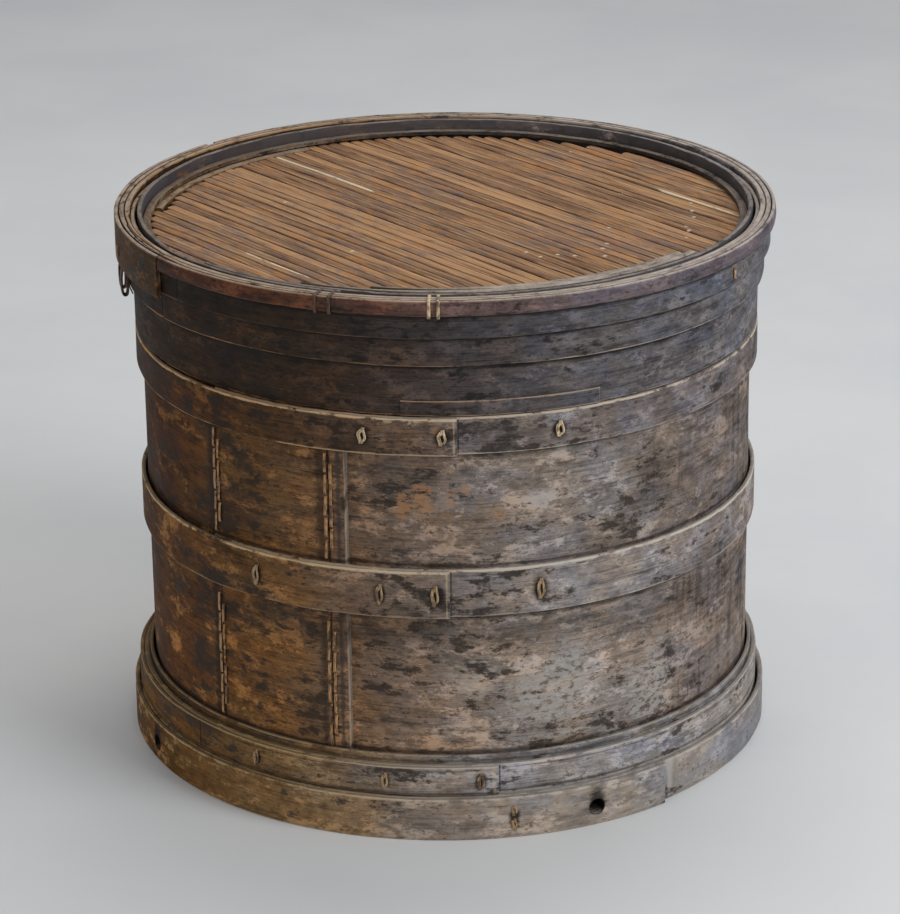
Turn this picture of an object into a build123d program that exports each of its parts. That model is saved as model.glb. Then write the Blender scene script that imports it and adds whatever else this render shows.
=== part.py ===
from build123d import *
from math import sin, cos, radians, degrees, sqrt, asin
import os

# Bentwood and bamboo steamer basket, standing with its mouth on the ground and
# its slatted floor at the top.  Millimetres, +Z up, origin on the ground at the
# centre of the mouth.  Angles are in degrees round Z: 0 is the front (-Y) and
# +90 the right (+X).

# ---- driving dimensions ------------------------------------------------------
total_height = 450.0

# bent sheet that makes the wall, lapped on itself at the left front
shell_inner_radius = 248.0
shell_thickness = 4.3
shell_ground_gap = 1.5
shell_rim_drop = 1.0
shell_outer_end = -18.5
shell_inner_end = -49.0
shell_lap_rise = 1.5
shell_rise_span = 26.0

# clearances
ply_gap = 0.2
strip_gap = 0.3
edge_gap = 0.4

# nested strips round the fire end, counted outwards from the wall
third_band_thickness = 3.4
third_band_height = 96.0
third_band_rim_drop = 4.0
second_band_thickness = 4.5
second_band_height = 55.0
first_band_thickness = 4.4
first_band_height = 31.5
band_tip = 0.8
band_scarf_span = 24.0
third_band_scarf = 150.0
second_band_scarf = -83.0
first_band_scarf = -76.0

# split bamboo hoop round the rim, and the taller strip that closes it
rim_hoop_thickness = 3.8
rim_hoop_height = 12.5
rim_hoop_crown = 0.9
rim_hoop_start = -56.4
rim_hoop_end = 228.0
rim_end_band_start = 230.0
rim_end_band_end = 303.2
rim_end_band_height = 35.0

# thin strip laid along the lower edge of the third band
band_patch_start = -8.0
band_patch_end = 27.0
band_patch_height = 12.5
band_patch_thickness = 1.0

# hoops round the wall
hoop_thickness = 3.7
upper_hoop_height = 31.0
middle_hoop_low = 187.0
middle_hoop_height = 40.0
upper_hoop_end = 1.5
middle_hoop_end = 0.0
hoop_lap_span = 46.5
hoop_rise_span = 30.0

# foot: strips that nest outwards to the base hoop
backing_hoop_thickness = 3.0
backing_hoop_height = 66.5
backing_hoop_scarf = 140.0
foot_hoop_thickness = 4.4
foot_hoop_height = 60.0
foot_hoop_scarf = 165.0
foot_strip_thickness = 3.8
foot_strip_end = 8.0
foot_strip_joint = -50.3
foot_strip_joint_gap = 0.3
foot_strip_left_start = -118.0

base_hoop_thickness = 4.4
base_hoop_height = 36.0
base_hoop_end = 39.5
base_hoop_lap_span = 149.5
base_hoop_rise_span = 35.0
base_hoop_spring_angle = 78.0
base_hoop_spring_span = 28.0
base_hoop_spring = 2.4

rope_hole_radius = 6.5
rope_hole_height = 16.0
rope_hole_angles = (25.3, 115.3, 205.3, -64.7)

# stitches of flat cane: closed loops through the strips they hold
cane_width = 3.0
cane_thickness = 1.1
cane_gap = 0.15
upper_stitch_length = 11.0
upper_stitch_angles = (-14.5, -1.0, 19.5)
middle_stitch_length = 15.0
middle_stitch_angles = (-35.5, -12.0, -2.5, 16.0)
foot_stitch_length = 14.0
foot_stitch_angles = (-36.0, -11.5, 5.0)
base_stitch_length = 10.0
base_stitch_spacing = 12.0
base_stitch_angles = (10.5, -100.0)
rim_stitch_length = 9.0
rim_stitch_angles = (58.0, -76.6)
seam_angles = {"left": -46.0, "right": -21.5}
seam_stitch_pitch = 18.0
seam_stitch_length = 16.5
seam_column_spacing = 4.6
seam_end_margin = 2.0

# lashings of split cane over the rim
lashing_width = 2.6
lashing_thickness = 1.0
lashing_tail = 3.0
front_lashing_angles = (-2.8, -1.3)
left_lashing_angles = (-21.5, -19.1)

# slack cane loops under the tall strip
cane_loop_angles = (-84.5, -79.0)
cane_loop_drop = 31.0
cane_loop_reach = 7.0
cane_loop_width = 7.0
cane_loop_thickness = 1.6
loose_strip_width = 3.4
loose_strip_angle = -87.0
loose_strip_length = 18.0
loose_strip_bulge = 3.0

# slatted floor
floor_depth = 14.0
slat_pitch = 9.8
slat_width = 9.35
slat_thickness = 5.5
slat_edge_thickness = 3.6
slat_direction = -52.0
slat_side_room = 2.0
slat_groups = 10
floor_clearance = 0.5
short_slat_trim = 9.5
short_slat_raggedness = 2.2
short_slats_side_inset = 68.5
short_slats_past_middle = 34.0

batten_width = 26.0
batten_height = 12.0
batten_inset = 94.5
floor_gap = 0.2
pin_width = 2.6
pin_clearance = 0.1
pin_cover = 1.6

ledge_height = 4.5
support_hoop_thickness = 4.0
support_hoop_height = 18.0
butt_joint_gap = 0.6
floor_peg_width = 2.4
floor_peg_count = 12
floor_peg_start = 15.0

edge_filler_width = 8.0
edge_filler_rise = 1.2
edge_filler_start = -150.0
edge_filler_end = -97.0

# strips packed inside the rim at the front
packing_thickness = 6.4
packing_start = -27.0
packing_end = 52.0
packing_inner_start = -14.0
packing_inner_end = 50.0
packing_taper = 27.0

# ---- radii and heights that follow ------------------------------------------
shell_outer_radius = shell_inner_radius + shell_thickness
shell_lap_outer = shell_outer_radius + shell_lap_rise
shell_lap_inner = shell_inner_radius + shell_lap_rise - ply_gap - shell_thickness
shell_top = total_height - shell_rim_drop

wall_clear_radius = shell_lap_outer + ply_gap
third_band_radius = wall_clear_radius
third_band_outer = third_band_radius + third_band_thickness
second_band_radius = third_band_outer + strip_gap
second_band_outer = second_band_radius + second_band_thickness
first_band_radius = second_band_outer + strip_gap
first_band_outer = first_band_radius + first_band_thickness
rim_hoop_radius = first_band_outer + strip_gap
rim_hoop_outer = rim_hoop_radius + rim_hoop_thickness

third_band_top = total_height - third_band_rim_drop
third_band_low = total_height - third_band_height
second_band_low = total_height - second_band_height
first_band_low = total_height - first_band_height
rim_hoop_low = total_height - rim_hoop_height
rim_end_band_low = total_height - rim_end_band_height

upper_hoop_high = third_band_low - 2.0 * edge_gap
upper_hoop_low = upper_hoop_high - upper_hoop_height
middle_hoop_high = middle_hoop_low + middle_hoop_height

backing_hoop_radius = wall_clear_radius
backing_hoop_outer = backing_hoop_radius + backing_hoop_thickness
backing_hoop_high = shell_ground_gap + backing_hoop_height
foot_hoop_radius = backing_hoop_outer + strip_gap
foot_hoop_outer = foot_hoop_radius + foot_hoop_thickness
foot_hoop_high = shell_ground_gap + foot_hoop_height
base_hoop_radius = foot_hoop_outer + strip_gap
base_hoop_outer = base_hoop_radius + 2.0 * base_hoop_thickness + ply_gap
foot_strip_radius = foot_hoop_outer + strip_gap
foot_strip_outer = foot_strip_radius + foot_strip_thickness
foot_strip_low = base_hoop_height + edge_gap

floor_radius = shell_lap_inner - floor_clearance
slat_top = total_height - floor_depth
slat_low = slat_top - slat_thickness
batten_high = slat_low - floor_gap
batten_low = batten_high - batten_height
support_high = batten_low - floor_gap
support_low = support_high - support_hoop_height
batten_offset = floor_radius - batten_inset
slat_count = 2 * int((floor_radius - slat_side_room - slat_width / 2) // slat_pitch) + 1
ledge_inner_radius = shell_inner_radius - floor_clearance - packing_thickness
ledge_low = slat_top + floor_gap
ledge_high = ledge_low + ledge_height


# ---- shape helpers -----------------------------------------------------------
def at(radius, angle):
    """Point in plan at a radius and a turn from the front."""
    return Vector(radius * sin(radians(angle)), -radius * cos(radians(angle)))


def bent_line(stations):
    """Arcs through (angle, radius) stations, each long stretch cut in pieces."""
    arcs = []
    for (angle_a, radius_a), (angle_b, radius_b) in zip(stations, stations[1:]):
        pieces = int(abs(angle_b - angle_a) // 120) + 1
        turn = (angle_b - angle_a) / pieces
        for i in range(pieces):
            start = angle_a + i * turn
            if radius_a == radius_b:
                arcs.append(CenterArc((0, 0), radius_a, start - 90, turn))
            else:
                points = [at(radius_a + (radius_b - radius_a) * (i + share) / pieces,
                             start + share * turn) for share in (0.0, 0.5, 1.0)]
                arcs.append(ThreePointArc(*points))
    return arcs


def bent_strip(inner, outer, low, high):
    """Strip on edge between an inner and an outer line of stations."""
    inner_line = bent_line(inner)
    outer_line = bent_line(outer)
    start = Line(inner_line[0] @ 0, outer_line[0] @ 0)
    end = Line(inner_line[-1] @ 1, outer_line[-1] @ 1)
    face = make_face(Wire(inner_line + [end] + outer_line + [start]))
    return Pos(0, 0, low) * extrude(face, amount=high - low)


def even_strip(stations, thickness, low, high):
    """Bent strip of one thickness, from the stations of its inner face."""
    outer = [(angle, radius + thickness) for angle, radius in stations]
    return bent_strip(stations, outer, low, high)


def lapped_hoop_stations(radius, thickness, end_angle, lap_span, rise_span):
    """Inner face of a hoop whose outer end laps over its inner end."""
    inner_end = end_angle - lap_span
    outer_turn = radius + thickness + ply_gap
    return [(inner_end, radius), (inner_end + 360 - rise_span, radius),
            (inner_end + 360, outer_turn), (end_angle + 360, outer_turn)]


def scarfed_hoop(radius, thickness, low, high, start, tip=band_tip, span=band_scarf_span):
    """Hoop of one thickness, whose feathered ends lap over each other."""
    step = 0.15
    inner = [(start, radius), (start + 360 - step, radius)]
    under = [(start + 360 - step, radius + tip + ply_gap),
             (start + 360 + span, radius + thickness - tip)]
    outer = [(start + span + step, radius + thickness), (start + 360 + span, radius + thickness)]
    over = [(start, radius + tip),
            (start + span + step, radius + thickness - tip - ply_gap)]
    inner_line, under_line = bent_line(inner), bent_line(under)
    outer_line, over_line = bent_line(outer), bent_line(over)
    edges = inner_line + under_line + outer_line + over_line
    edges += [Line(inner_line[-1] @ 1, under_line[0] @ 0), Line(under_line[-1] @ 1, outer_line[-1] @ 1),
              Line(outer_line[0] @ 0, over_line[-1] @ 1), Line(over_line[0] @ 0, inner_line[0] @ 0)]
    return Pos(0, 0, low) * extrude(make_face(Wire(edges)), amount=high - low)


def radial_plane(angle, shift=0.0):
    """Plane through Z at an angle: x is outwards, y is up, shifted along the turn."""
    outwards = at(1.0, angle)
    along = at(1.0, angle + 90)
    return Plane(origin=along * shift, x_dir=outwards, z_dir=Vector(0, 0, 1).cross(outwards) * -1)


def block(angle, inner, outer, low, high, width, shift=0.0):
    """Radial block centred on an angle."""
    plane = radial_plane(angle, shift)
    centre = ((inner + outer) / 2, (low + high) / 2)
    face = plane * Pos(*centre) * Rectangle(outer - inner, high - low)
    return extrude(face, amount=width / 2, both=True)


def stitch(angle, inner, outer, low, high, shift=0.0):
    """Closed loop of cane through everything between two radii."""
    whole = block(angle, inner - cane_thickness, outer + cane_thickness, low, high, cane_width, shift)
    room = block(angle, inner, outer, low + cane_thickness, high - cane_thickness,
                 2 * cane_width, shift)
    return whole - room


def stitch_holes(angle, inner, outer, low, high, shift=0.0):
    """The two slots that a stitch passes through."""
    reach = 2 * cane_thickness
    width = cane_width + 2 * cane_gap
    return [block(angle, inner - reach, outer + reach, edge - cane_gap,
                  edge + cane_thickness + cane_gap, width, shift)
            for edge in (low, high - cane_thickness)]


def station_radius(stations, angle):
    """Radius of a line of stations at an angle, on its first turn that holds it."""
    found = []
    for turn in (-360, 0, 360):
        for (angle_a, radius_a), (angle_b, radius_b) in zip(stations, stations[1:]):
            if angle_a <= angle + turn <= angle_b:
                share = (angle + turn - angle_a) / (angle_b - angle_a)
                found.append(radius_a + (radius_b - radius_a) * share)
    return found


def ribbon(points, radii, thickness, angle, width, shift=0.0):
    """Flat cane bent along a rounded path in a radial plane."""
    path = FilletPolyline(*points, radius=radii)
    face = trace(path, line_width=thickness)
    return extrude(radial_plane(angle, shift) * face, amount=width / 2, both=True)


# ---- wall --------------------------------------------------------------------
shell_stations = [(shell_inner_end, shell_lap_inner), (shell_outer_end, shell_lap_inner),
                  (shell_outer_end + shell_rise_span, shell_inner_radius),
                  (shell_inner_end + 360 - shell_rise_span, shell_inner_radius),
                  (shell_inner_end + 360, shell_inner_radius + shell_lap_rise),
                  (shell_outer_end + 360, shell_inner_radius + shell_lap_rise)]


def wall_face_inside(angle):
    """Radius just inside the wall's inner face, where a stitch turns back."""
    return min(station_radius(shell_stations, angle)) - 2 * ply_gap


nodes = {}
cuts = {}


def cut_from(names, tools):
    """Remember slots and holes to be cut from the named nodes."""
    for name in names:
        cuts.setdefault(name, []).extend(tools)


nodes["shell_sheet"] = [even_strip(shell_stations, shell_thickness, shell_ground_gap, shell_top)]

# ---- nested bands and rim hoop -----------------------------------------------
nodes["third_band"] = [scarfed_hoop(third_band_radius, third_band_thickness, third_band_low,
                                    third_band_top, third_band_scarf)]
nodes["second_band"] = [scarfed_hoop(second_band_radius, second_band_thickness,
                                     second_band_low, total_height, second_band_scarf)]
nodes["first_band"] = [scarfed_hoop(first_band_radius, first_band_thickness, first_band_low,
                                    total_height, first_band_scarf)]
nodes["band_patch"] = [even_strip([(band_patch_start, third_band_outer + ply_gap),
                                   (band_patch_end, third_band_outer + ply_gap)],
                                  band_patch_thickness, third_band_low,
                                  third_band_low + band_patch_height)]


def crowned_strip(radius, thickness, crown, low, high, start, end):
    """Split bamboo on edge: flat inside, crowned outside."""
    shoulder = radius + thickness - crown
    outline = [Line((radius, low), (shoulder, low)),
               ThreePointArc((shoulder, low), (radius + thickness, (low + high) / 2), (shoulder, high)),
               Line((shoulder, high), (radius, high)), Line((radius, high), (radius, low))]
    face = Plane.XZ * make_face(Wire(outline))
    return Rot(0, 0, start - 90) * revolve(face, Axis.Z, end - start)


nodes["rim_hoop"] = [crowned_strip(rim_hoop_radius, rim_hoop_thickness, rim_hoop_crown,
                                   rim_hoop_low, total_height, rim_hoop_start, rim_hoop_end)]
nodes["rim_end_band"] = [even_strip([(rim_end_band_start, rim_hoop_radius),
                                     (rim_end_band_end, rim_hoop_radius)],
                                    rim_hoop_thickness, rim_end_band_low, total_height)]

# ---- hoops round the wall ----------------------------------------------------
hoop_heights = {"upper_hoop": (upper_hoop_low, upper_hoop_high, upper_hoop_end),
                "middle_hoop": (middle_hoop_low, middle_hoop_high, middle_hoop_end)}
hoop_stations = {}
for name, (low, high, end) in hoop_heights.items():
    hoop_stations[name] = lapped_hoop_stations(wall_clear_radius, hoop_thickness, end,
                                               hoop_lap_span, hoop_rise_span)
    nodes[name] = [even_strip(hoop_stations[name], hoop_thickness, low, high)]

# ---- foot --------------------------------------------------------------------
nodes["foot_backing_hoop"] = [scarfed_hoop(backing_hoop_radius, backing_hoop_thickness,
                                           shell_ground_gap, backing_hoop_high,
                                           backing_hoop_scarf)]
nodes["foot_hoop"] = [scarfed_hoop(foot_hoop_radius, foot_hoop_thickness, shell_ground_gap,
                                   foot_hoop_high, foot_hoop_scarf)]
nodes["foot_strip_front"] = [even_strip([(foot_strip_joint, foot_strip_radius),
                                         (foot_strip_end, foot_strip_radius)],
                                        foot_strip_thickness, foot_strip_low, foot_hoop_high)]
joint_turn = degrees(foot_strip_joint_gap / foot_strip_radius)
nodes["foot_strip_left"] = [bent_strip(
    [(foot_strip_left_start, foot_strip_radius), (foot_strip_joint - joint_turn, foot_strip_radius)],
    [(foot_strip_left_start, foot_strip_radius + band_tip),
     (foot_strip_left_start + band_scarf_span, foot_strip_outer),
     (foot_strip_joint - joint_turn, foot_strip_outer)],
    foot_strip_low, foot_hoop_high)]

base_inner_end = base_hoop_end - base_hoop_lap_span
base_outer_turn = base_hoop_radius + base_hoop_thickness + ply_gap
base_stations = [(base_inner_end, base_hoop_radius),
                 (base_hoop_spring_angle - base_hoop_spring_span, base_hoop_radius),
                 (base_hoop_spring_angle, base_hoop_radius + base_hoop_spring),
                 (base_hoop_spring_angle + base_hoop_spring_span, base_hoop_radius),
                 (base_inner_end + 360 - base_hoop_rise_span, base_hoop_radius),
                 (base_inner_end + 360, base_outer_turn),
                 (base_hoop_end + 360, base_outer_turn)]
nodes["base_hoop"] = [even_strip(base_stations, base_hoop_thickness, 0, base_hoop_height)]

rope_holes = []
for angle in rope_hole_angles:
    outwards = at(1.0, angle)
    start = Plane(origin=outwards * (shell_lap_inner / 2) + Vector(0, 0, rope_hole_height),
                  z_dir=outwards)
    rope_holes.append(extrude(start * Circle(rope_hole_radius), amount=base_hoop_outer))
cut_from(["shell_sheet", "foot_backing_hoop", "foot_hoop", "base_hoop"], rope_holes)


# ---- stitches ----------------------------------------------------------------
def add_stitches(node, angles, outer_of, middle, length, through):
    """Stitches through the wall and the named strips, at each angle."""
    nodes[node] = []
    for angle in angles:
        loop = (angle, wall_face_inside(angle), outer_of(angle) + ply_gap,
                middle - length / 2, middle + length / 2)
        nodes[node].append(stitch(*loop))
        cut_from(["shell_sheet"] + through, stitch_holes(*loop))


for name, angles, length in (("upper_hoop", upper_stitch_angles, upper_stitch_length),
                             ("middle_hoop", middle_stitch_angles, middle_stitch_length)):
    low, high, end = hoop_heights[name]
    add_stitches(name + "_stitches", angles,
                 lambda angle: max(station_radius(hoop_stations[name], angle)) + hoop_thickness,
                 (low + high) / 2, length, [name])

add_stitches("foot_strip_stitches", foot_stitch_angles, lambda angle: foot_strip_outer,
             (foot_strip_low + foot_hoop_high) / 2, foot_stitch_length,
             ["foot_strip_front", "foot_hoop", "foot_backing_hoop"])

nodes["base_hoop_stitches"] = []
for angle in base_stitch_angles:
    for side in (-0.5, 0.5):
        middle = base_hoop_height / 2 + side * base_stitch_spacing
        loop = (angle, wall_face_inside(angle), base_hoop_outer + ply_gap,
                middle - base_stitch_length / 2, middle + base_stitch_length / 2)
        nodes["base_hoop_stitches"].append(stitch(*loop))
        cut_from(["shell_sheet", "foot_backing_hoop", "foot_hoop", "base_hoop"],
                 stitch_holes(*loop))

bands = ["third_band", "second_band", "first_band"]
nodes["rim_stitches"] = []
for angle, outer in zip(rim_stitch_angles, (first_band_outer, rim_hoop_outer)):
    middle = (first_band_low + rim_hoop_low) / 2
    loop = (angle, wall_face_inside(angle), outer + ply_gap,
            middle - rim_stitch_length / 2, middle + rim_stitch_length / 2)
    nodes["rim_stitches"].append(stitch(*loop))
    cut_from(["shell_sheet"] + bands + ["rim_end_band"], stitch_holes(*loop))

seam_windows = [(backing_hoop_high, middle_hoop_low), (middle_hoop_high, upper_hoop_low)]
for side, angle in seam_angles.items():
    name = "seam_stitches_" + side
    nodes[name] = []
    for window_low, window_high in seam_windows:
        room = window_high - window_low - 2 * seam_end_margin
        for column in (-0.5, 0.5):
            count = int((room - (column + 0.5) * seam_stitch_pitch / 2) // seam_stitch_pitch)
            first = window_low + seam_end_margin + (column + 0.5) * seam_stitch_pitch / 2
            for i in range(count):
                low = first + i * seam_stitch_pitch
                loop = (angle, wall_face_inside(angle), shell_lap_outer + ply_gap, low,
                        low + seam_stitch_length, column * seam_column_spacing)
                nodes[name].append(stitch(*loop))
                cut_from(["shell_sheet"], stitch_holes(*loop))


# ---- lashings and slack loops ------------------------------------------------
def rim_lashing(angle):
    """Strand that hooks over the rim, runs down the hoop and tucks in below it."""
    half = lashing_thickness / 2
    inside = (wall_clear_radius + second_band_radius) / 2
    over = total_height + ply_gap + half
    outside = rim_hoop_outer + ply_gap + half
    under = rim_hoop_low - ply_gap - half
    tail = first_band_radius + half
    points = [(inside, third_band_top + ply_gap), (inside, over), (outside, over),
              (outside, under), (tail, under)]
    return ribbon(points, lashing_thickness, lashing_thickness, angle, lashing_width)


for node, angles in (("rim_lashing_front", front_lashing_angles),
                     ("rim_lashing_left", left_lashing_angles)):
    nodes[node] = [rim_lashing(angle) for angle in angles]
    high = rim_hoop_low - ply_gap + cane_gap
    cut_from(["first_band"],
             [block(angle, first_band_radius - strip_gap / 2, first_band_outer + strip_gap / 2,
                    high - lashing_thickness - 2 * cane_gap, high, lashing_width + 2 * cane_gap)
              for angle in angles])


def cane_loop(angle):
    """Slack loop of flat cane, both ends tucked up behind the tall strip."""
    half = cane_loop_thickness / 2
    behind = second_band_outer + strip_gap + half
    front = rim_hoop_radius - strip_gap - half
    out = second_band_outer + cane_loop_reach
    tuck = first_band_low - edge_gap
    bottom = rim_end_band_low - cane_loop_drop
    points = [(behind, tuck), (behind, bottom), (out, bottom), (out, bottom + 0.55 * cane_loop_drop),
              (front, rim_end_band_low - edge_gap), (front, tuck)]
    return ribbon(points, cane_loop_reach / 4, cane_loop_thickness, angle, cane_loop_width)


nodes["cane_loops"] = [cane_loop(angle) for angle in cane_loop_angles]


def loose_strip():
    """Short cane strip sprung away from the third band."""
    foot = third_band_outer + strip_gap + lashing_thickness / 2
    high = second_band_low - 3 * edge_gap
    low = high - loose_strip_length
    path = ThreePointArc((foot, low), (foot + loose_strip_bulge, (low + high) / 2), (foot, high))
    face = trace(path, line_width=lashing_thickness)
    return extrude(radial_plane(loose_strip_angle) * face, amount=loose_strip_width / 2, both=True)


nodes["loose_strip"] = [loose_strip()]

# ---- slatted floor -----------------------------------------------------------
floor_turn = Rot(0, 0, slat_direction)
first_slat = -(slat_count - 1) / 2 * slat_pitch


def half_chord(radius, offset):
    """Half the length that fits in a circle at an offset from its middle."""
    return sqrt(radius ** 2 - offset ** 2)


def slat(index):
    """One split slat, flat below and crowned above, with the pin holes it needs."""
    across = first_slat + index * slat_pitch
    edge = abs(across) + slat_width / 2
    right_end = half_chord(floor_radius, edge)
    left_end = right_end
    if short_slats_side_inset - floor_radius < across < short_slats_past_middle:
        ragged = short_slat_raggedness * (0.5 + 0.5 * sin(2.4 * index))
        left_end = half_chord(floor_radius - short_slat_trim - ragged, edge)
    half = slat_width / 2
    outline = [Line((-half, 0), (half, 0)), Line((half, 0), (half, slat_edge_thickness)),
               ThreePointArc((half, slat_edge_thickness), (0, slat_thickness),
                             (-half, slat_edge_thickness)),
               Line((-half, slat_edge_thickness), (-half, 0))]
    section = Plane(origin=(-left_end, across, slat_low), x_dir=(0, 1, 0), z_dir=(1, 0, 0))
    body = extrude(section * make_face(Wire(outline)), amount=left_end + right_end)
    return across, body


def pin_places():
    """Every crossing of a slat and a batten, as (batten, along, slat)."""
    places = []
    for batten, along in enumerate((-batten_offset, 0.0, batten_offset)):
        reach = half_chord(floor_radius, abs(along) + batten_width / 2) - slat_pitch
        for index in range(slat_count):
            across = first_slat + index * slat_pitch
            if abs(across) < reach:
                places.append((batten, along, index))
    return places


pin_top = slat_top - pin_cover
slats = [slat(index) for index in range(slat_count)]
slat_bodies = [body for across, body in slats]
battens = []
for along in (-batten_offset, 0.0, batten_offset):
    reach = half_chord(floor_radius, abs(along) + batten_width / 2)
    battens.append(Pos(along, 0, (batten_low + batten_high) / 2)
                   * Box(batten_width, 2 * reach, batten_height))

pins = []
batten_holes = [[], [], []]
slat_holes = [[] for index in range(slat_count)]
for batten, along, index in pin_places():
    across = first_slat + index * slat_pitch
    pin = Pos(along, across, (batten_low + pin_top) / 2) * Box(pin_width, pin_width,
                                                              pin_top - batten_low)
    pins.append(floor_turn * pin)
    hole_top = pin_top + pin_clearance
    hole_width = pin_width + 2 * pin_clearance
    hole = (Pos(along, across, (batten_low + hole_top) / 2)
            * Box(hole_width, hole_width, hole_top - batten_low))
    batten_holes[batten].append(hole)
    slat_holes[index].append(hole)

for name, body, holes in zip(("cross_batten_left", "cross_batten_middle", "cross_batten_right"),
                             battens, batten_holes):
    nodes[name] = [floor_turn * (body - holes)]
nodes["floor_pins"] = pins
for index in range(slat_count):
    name = "floor_slats_%02d" % (index * slat_groups // slat_count + 1)
    nodes.setdefault(name, []).append(floor_turn * (slat_bodies[index] - slat_holes[index]))

# ---- hoops that hold the floor -----------------------------------------------
joint_turn = degrees(butt_joint_gap / floor_radius)
seat_stations = [(angle, radius - floor_clearance) for angle, radius in shell_stations[:4]]
seat_stations.append((shell_inner_end + 360 - joint_turn, shell_inner_radius - floor_clearance))
nodes["floor_ledge_hoop"] = [bent_strip(
    [(seat_stations[0][0], ledge_inner_radius), (seat_stations[-1][0], ledge_inner_radius)],
    seat_stations, ledge_low, ledge_high)]
nodes["floor_support_hoop"] = [even_strip(
    [(angle, radius - support_hoop_thickness) for angle, radius in seat_stations],
    support_hoop_thickness, support_low, support_high)]
filler_outer = floor_radius - strip_gap
nodes["floor_edge_filler"] = [even_strip(
    [(edge_filler_start, filler_outer - edge_filler_width),
     (edge_filler_end, filler_outer - edge_filler_width)],
    edge_filler_width, slat_low, slat_top)]

peg_rows = (("floor_ledge_hoop", ledge_low + ledge_height / 2, ledge_inner_radius),
            ("floor_support_hoop", support_low + support_hoop_height / 2,
             floor_radius - support_hoop_thickness))
nodes["floor_pegs"] = []
for hoop, height, hoop_inner in peg_rows:
    inner = hoop_inner
    outer = shell_outer_radius - cane_thickness
    half = floor_peg_width / 2
    room = half + pin_clearance
    for i in range(floor_peg_count):
        angle = floor_peg_start + i * 360 / floor_peg_count
        nodes["floor_pegs"].append(block(angle, inner, outer, height - half, height + half,
                                         2 * half))
        cut_from(["shell_sheet", hoop],
                 [block(angle, inner - cane_thickness, outer + pin_clearance, height - room,
                        height + room, 2 * room)])

# ---- packing strips inside the rim at the front ------------------------------
def packing_strip(start, end, back, low):
    """Strip whose start tapers to a tip, its outer face on the given line of stations."""
    outer = [(start, back[0][1])]
    outer += [(angle, radius) for angle, radius in back if start < angle < end]
    outer.append((end, back[-1][1]))
    taper_end = start + packing_taper
    inner = [(start, back[0][1] - band_tip)]
    inner += [(max(angle, taper_end), radius - packing_thickness) for angle, radius in outer[1:-1]
              if angle >= taper_end - packing_taper / 2]
    inner.append((end, outer[-1][1] - packing_thickness))
    return bent_strip(inner, outer, low, total_height)


back = seat_stations[1:4]
nodes["rim_packing_outer"] = [packing_strip(packing_start, packing_end, back,
                                            ledge_high + floor_gap)]
back = [(angle, radius - packing_thickness - strip_gap) for angle, radius in back]
nodes["rim_packing_inner"] = [packing_strip(packing_inner_start, packing_inner_end, back,
                                            slat_top + floor_gap)]

# ---- cut the slots and write one STEP per node -------------------------------
os.makedirs("parts", exist_ok=True)
for name, bodies in nodes.items():
    if name in cuts:
        bodies = [body - cuts[name] for body in bodies]
    solids = [solid for body in bodies for solid in body.solids()]
    shape = solids[0] if len(solids) == 1 else Compound(children=solids)
    export_step(shape, "parts/" + name + ".step")
print(len(nodes), "nodes,", sum(len(bodies) for bodies in nodes.values()), "bodies")
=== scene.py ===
# %% [markdown]
# # A tall bentwood steamer, from a finished model to a picture
# The solids are already built: a bent sheet for the wall, strips round the fire end, hoops, a
# heavy foot and a floor of split slats. This lesson loads them as a fixed frame and dresses them.
# Strips shaved by hand are never quite straight, so most are drawn again as slightly uneven meshes
# in the same place.

# %% Load the frame
import math
import random

import bmesh
import bpy
from mathutils import Matrix, Vector, noise


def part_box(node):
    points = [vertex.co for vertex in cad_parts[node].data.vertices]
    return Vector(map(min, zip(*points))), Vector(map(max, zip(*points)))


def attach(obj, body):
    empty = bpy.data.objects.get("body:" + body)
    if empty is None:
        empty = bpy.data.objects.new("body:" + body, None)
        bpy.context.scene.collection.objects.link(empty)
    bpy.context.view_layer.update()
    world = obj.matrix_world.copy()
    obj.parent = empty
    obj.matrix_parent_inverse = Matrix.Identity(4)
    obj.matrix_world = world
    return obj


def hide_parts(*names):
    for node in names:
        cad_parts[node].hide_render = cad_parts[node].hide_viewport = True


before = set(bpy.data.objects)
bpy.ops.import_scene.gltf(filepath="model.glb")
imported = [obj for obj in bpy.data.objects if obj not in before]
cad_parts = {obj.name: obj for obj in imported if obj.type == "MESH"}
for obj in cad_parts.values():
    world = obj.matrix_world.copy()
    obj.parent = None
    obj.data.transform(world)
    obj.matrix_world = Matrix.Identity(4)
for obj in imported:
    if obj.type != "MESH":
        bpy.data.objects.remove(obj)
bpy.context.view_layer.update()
mm = 0.001

# %% [markdown]
# ## Places on the basket
# Everything is bent round one upright line, so a place is easiest to say as a radius, an angle and
# a height. The angle is 0 at the front and 90 at the right, and lengths are in millimetres. The
# bottom and top of a strip are measured on the built solid that it stands for.


# %% Places on the basket
def outward(angle):
    """The level direction that an angle points in."""
    turn = math.radians(angle)
    return Vector((math.sin(turn), -math.cos(turn), 0))


def polar(radius, angle, height):
    """A point from millimetres and degrees."""
    turn = math.radians(angle)
    return Vector((radius * math.sin(turn), -radius * math.cos(turn), height)) * mm


def heights(node):
    """Bottom and top of a built piece."""
    low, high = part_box(node)
    return round(low[2] / mm, 2), round(high[2] / mm, 2)


print("bottom and top of the wall:", heights("shell_sheet"))

# %% [markdown]
# ## Camera
# The steamer is seen from a little above, from well back, through a long lens, which keeps the
# hoops from bulging at the edges. The view is built from three turns: down, a touch sideways, and
# a slight roll.

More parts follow.
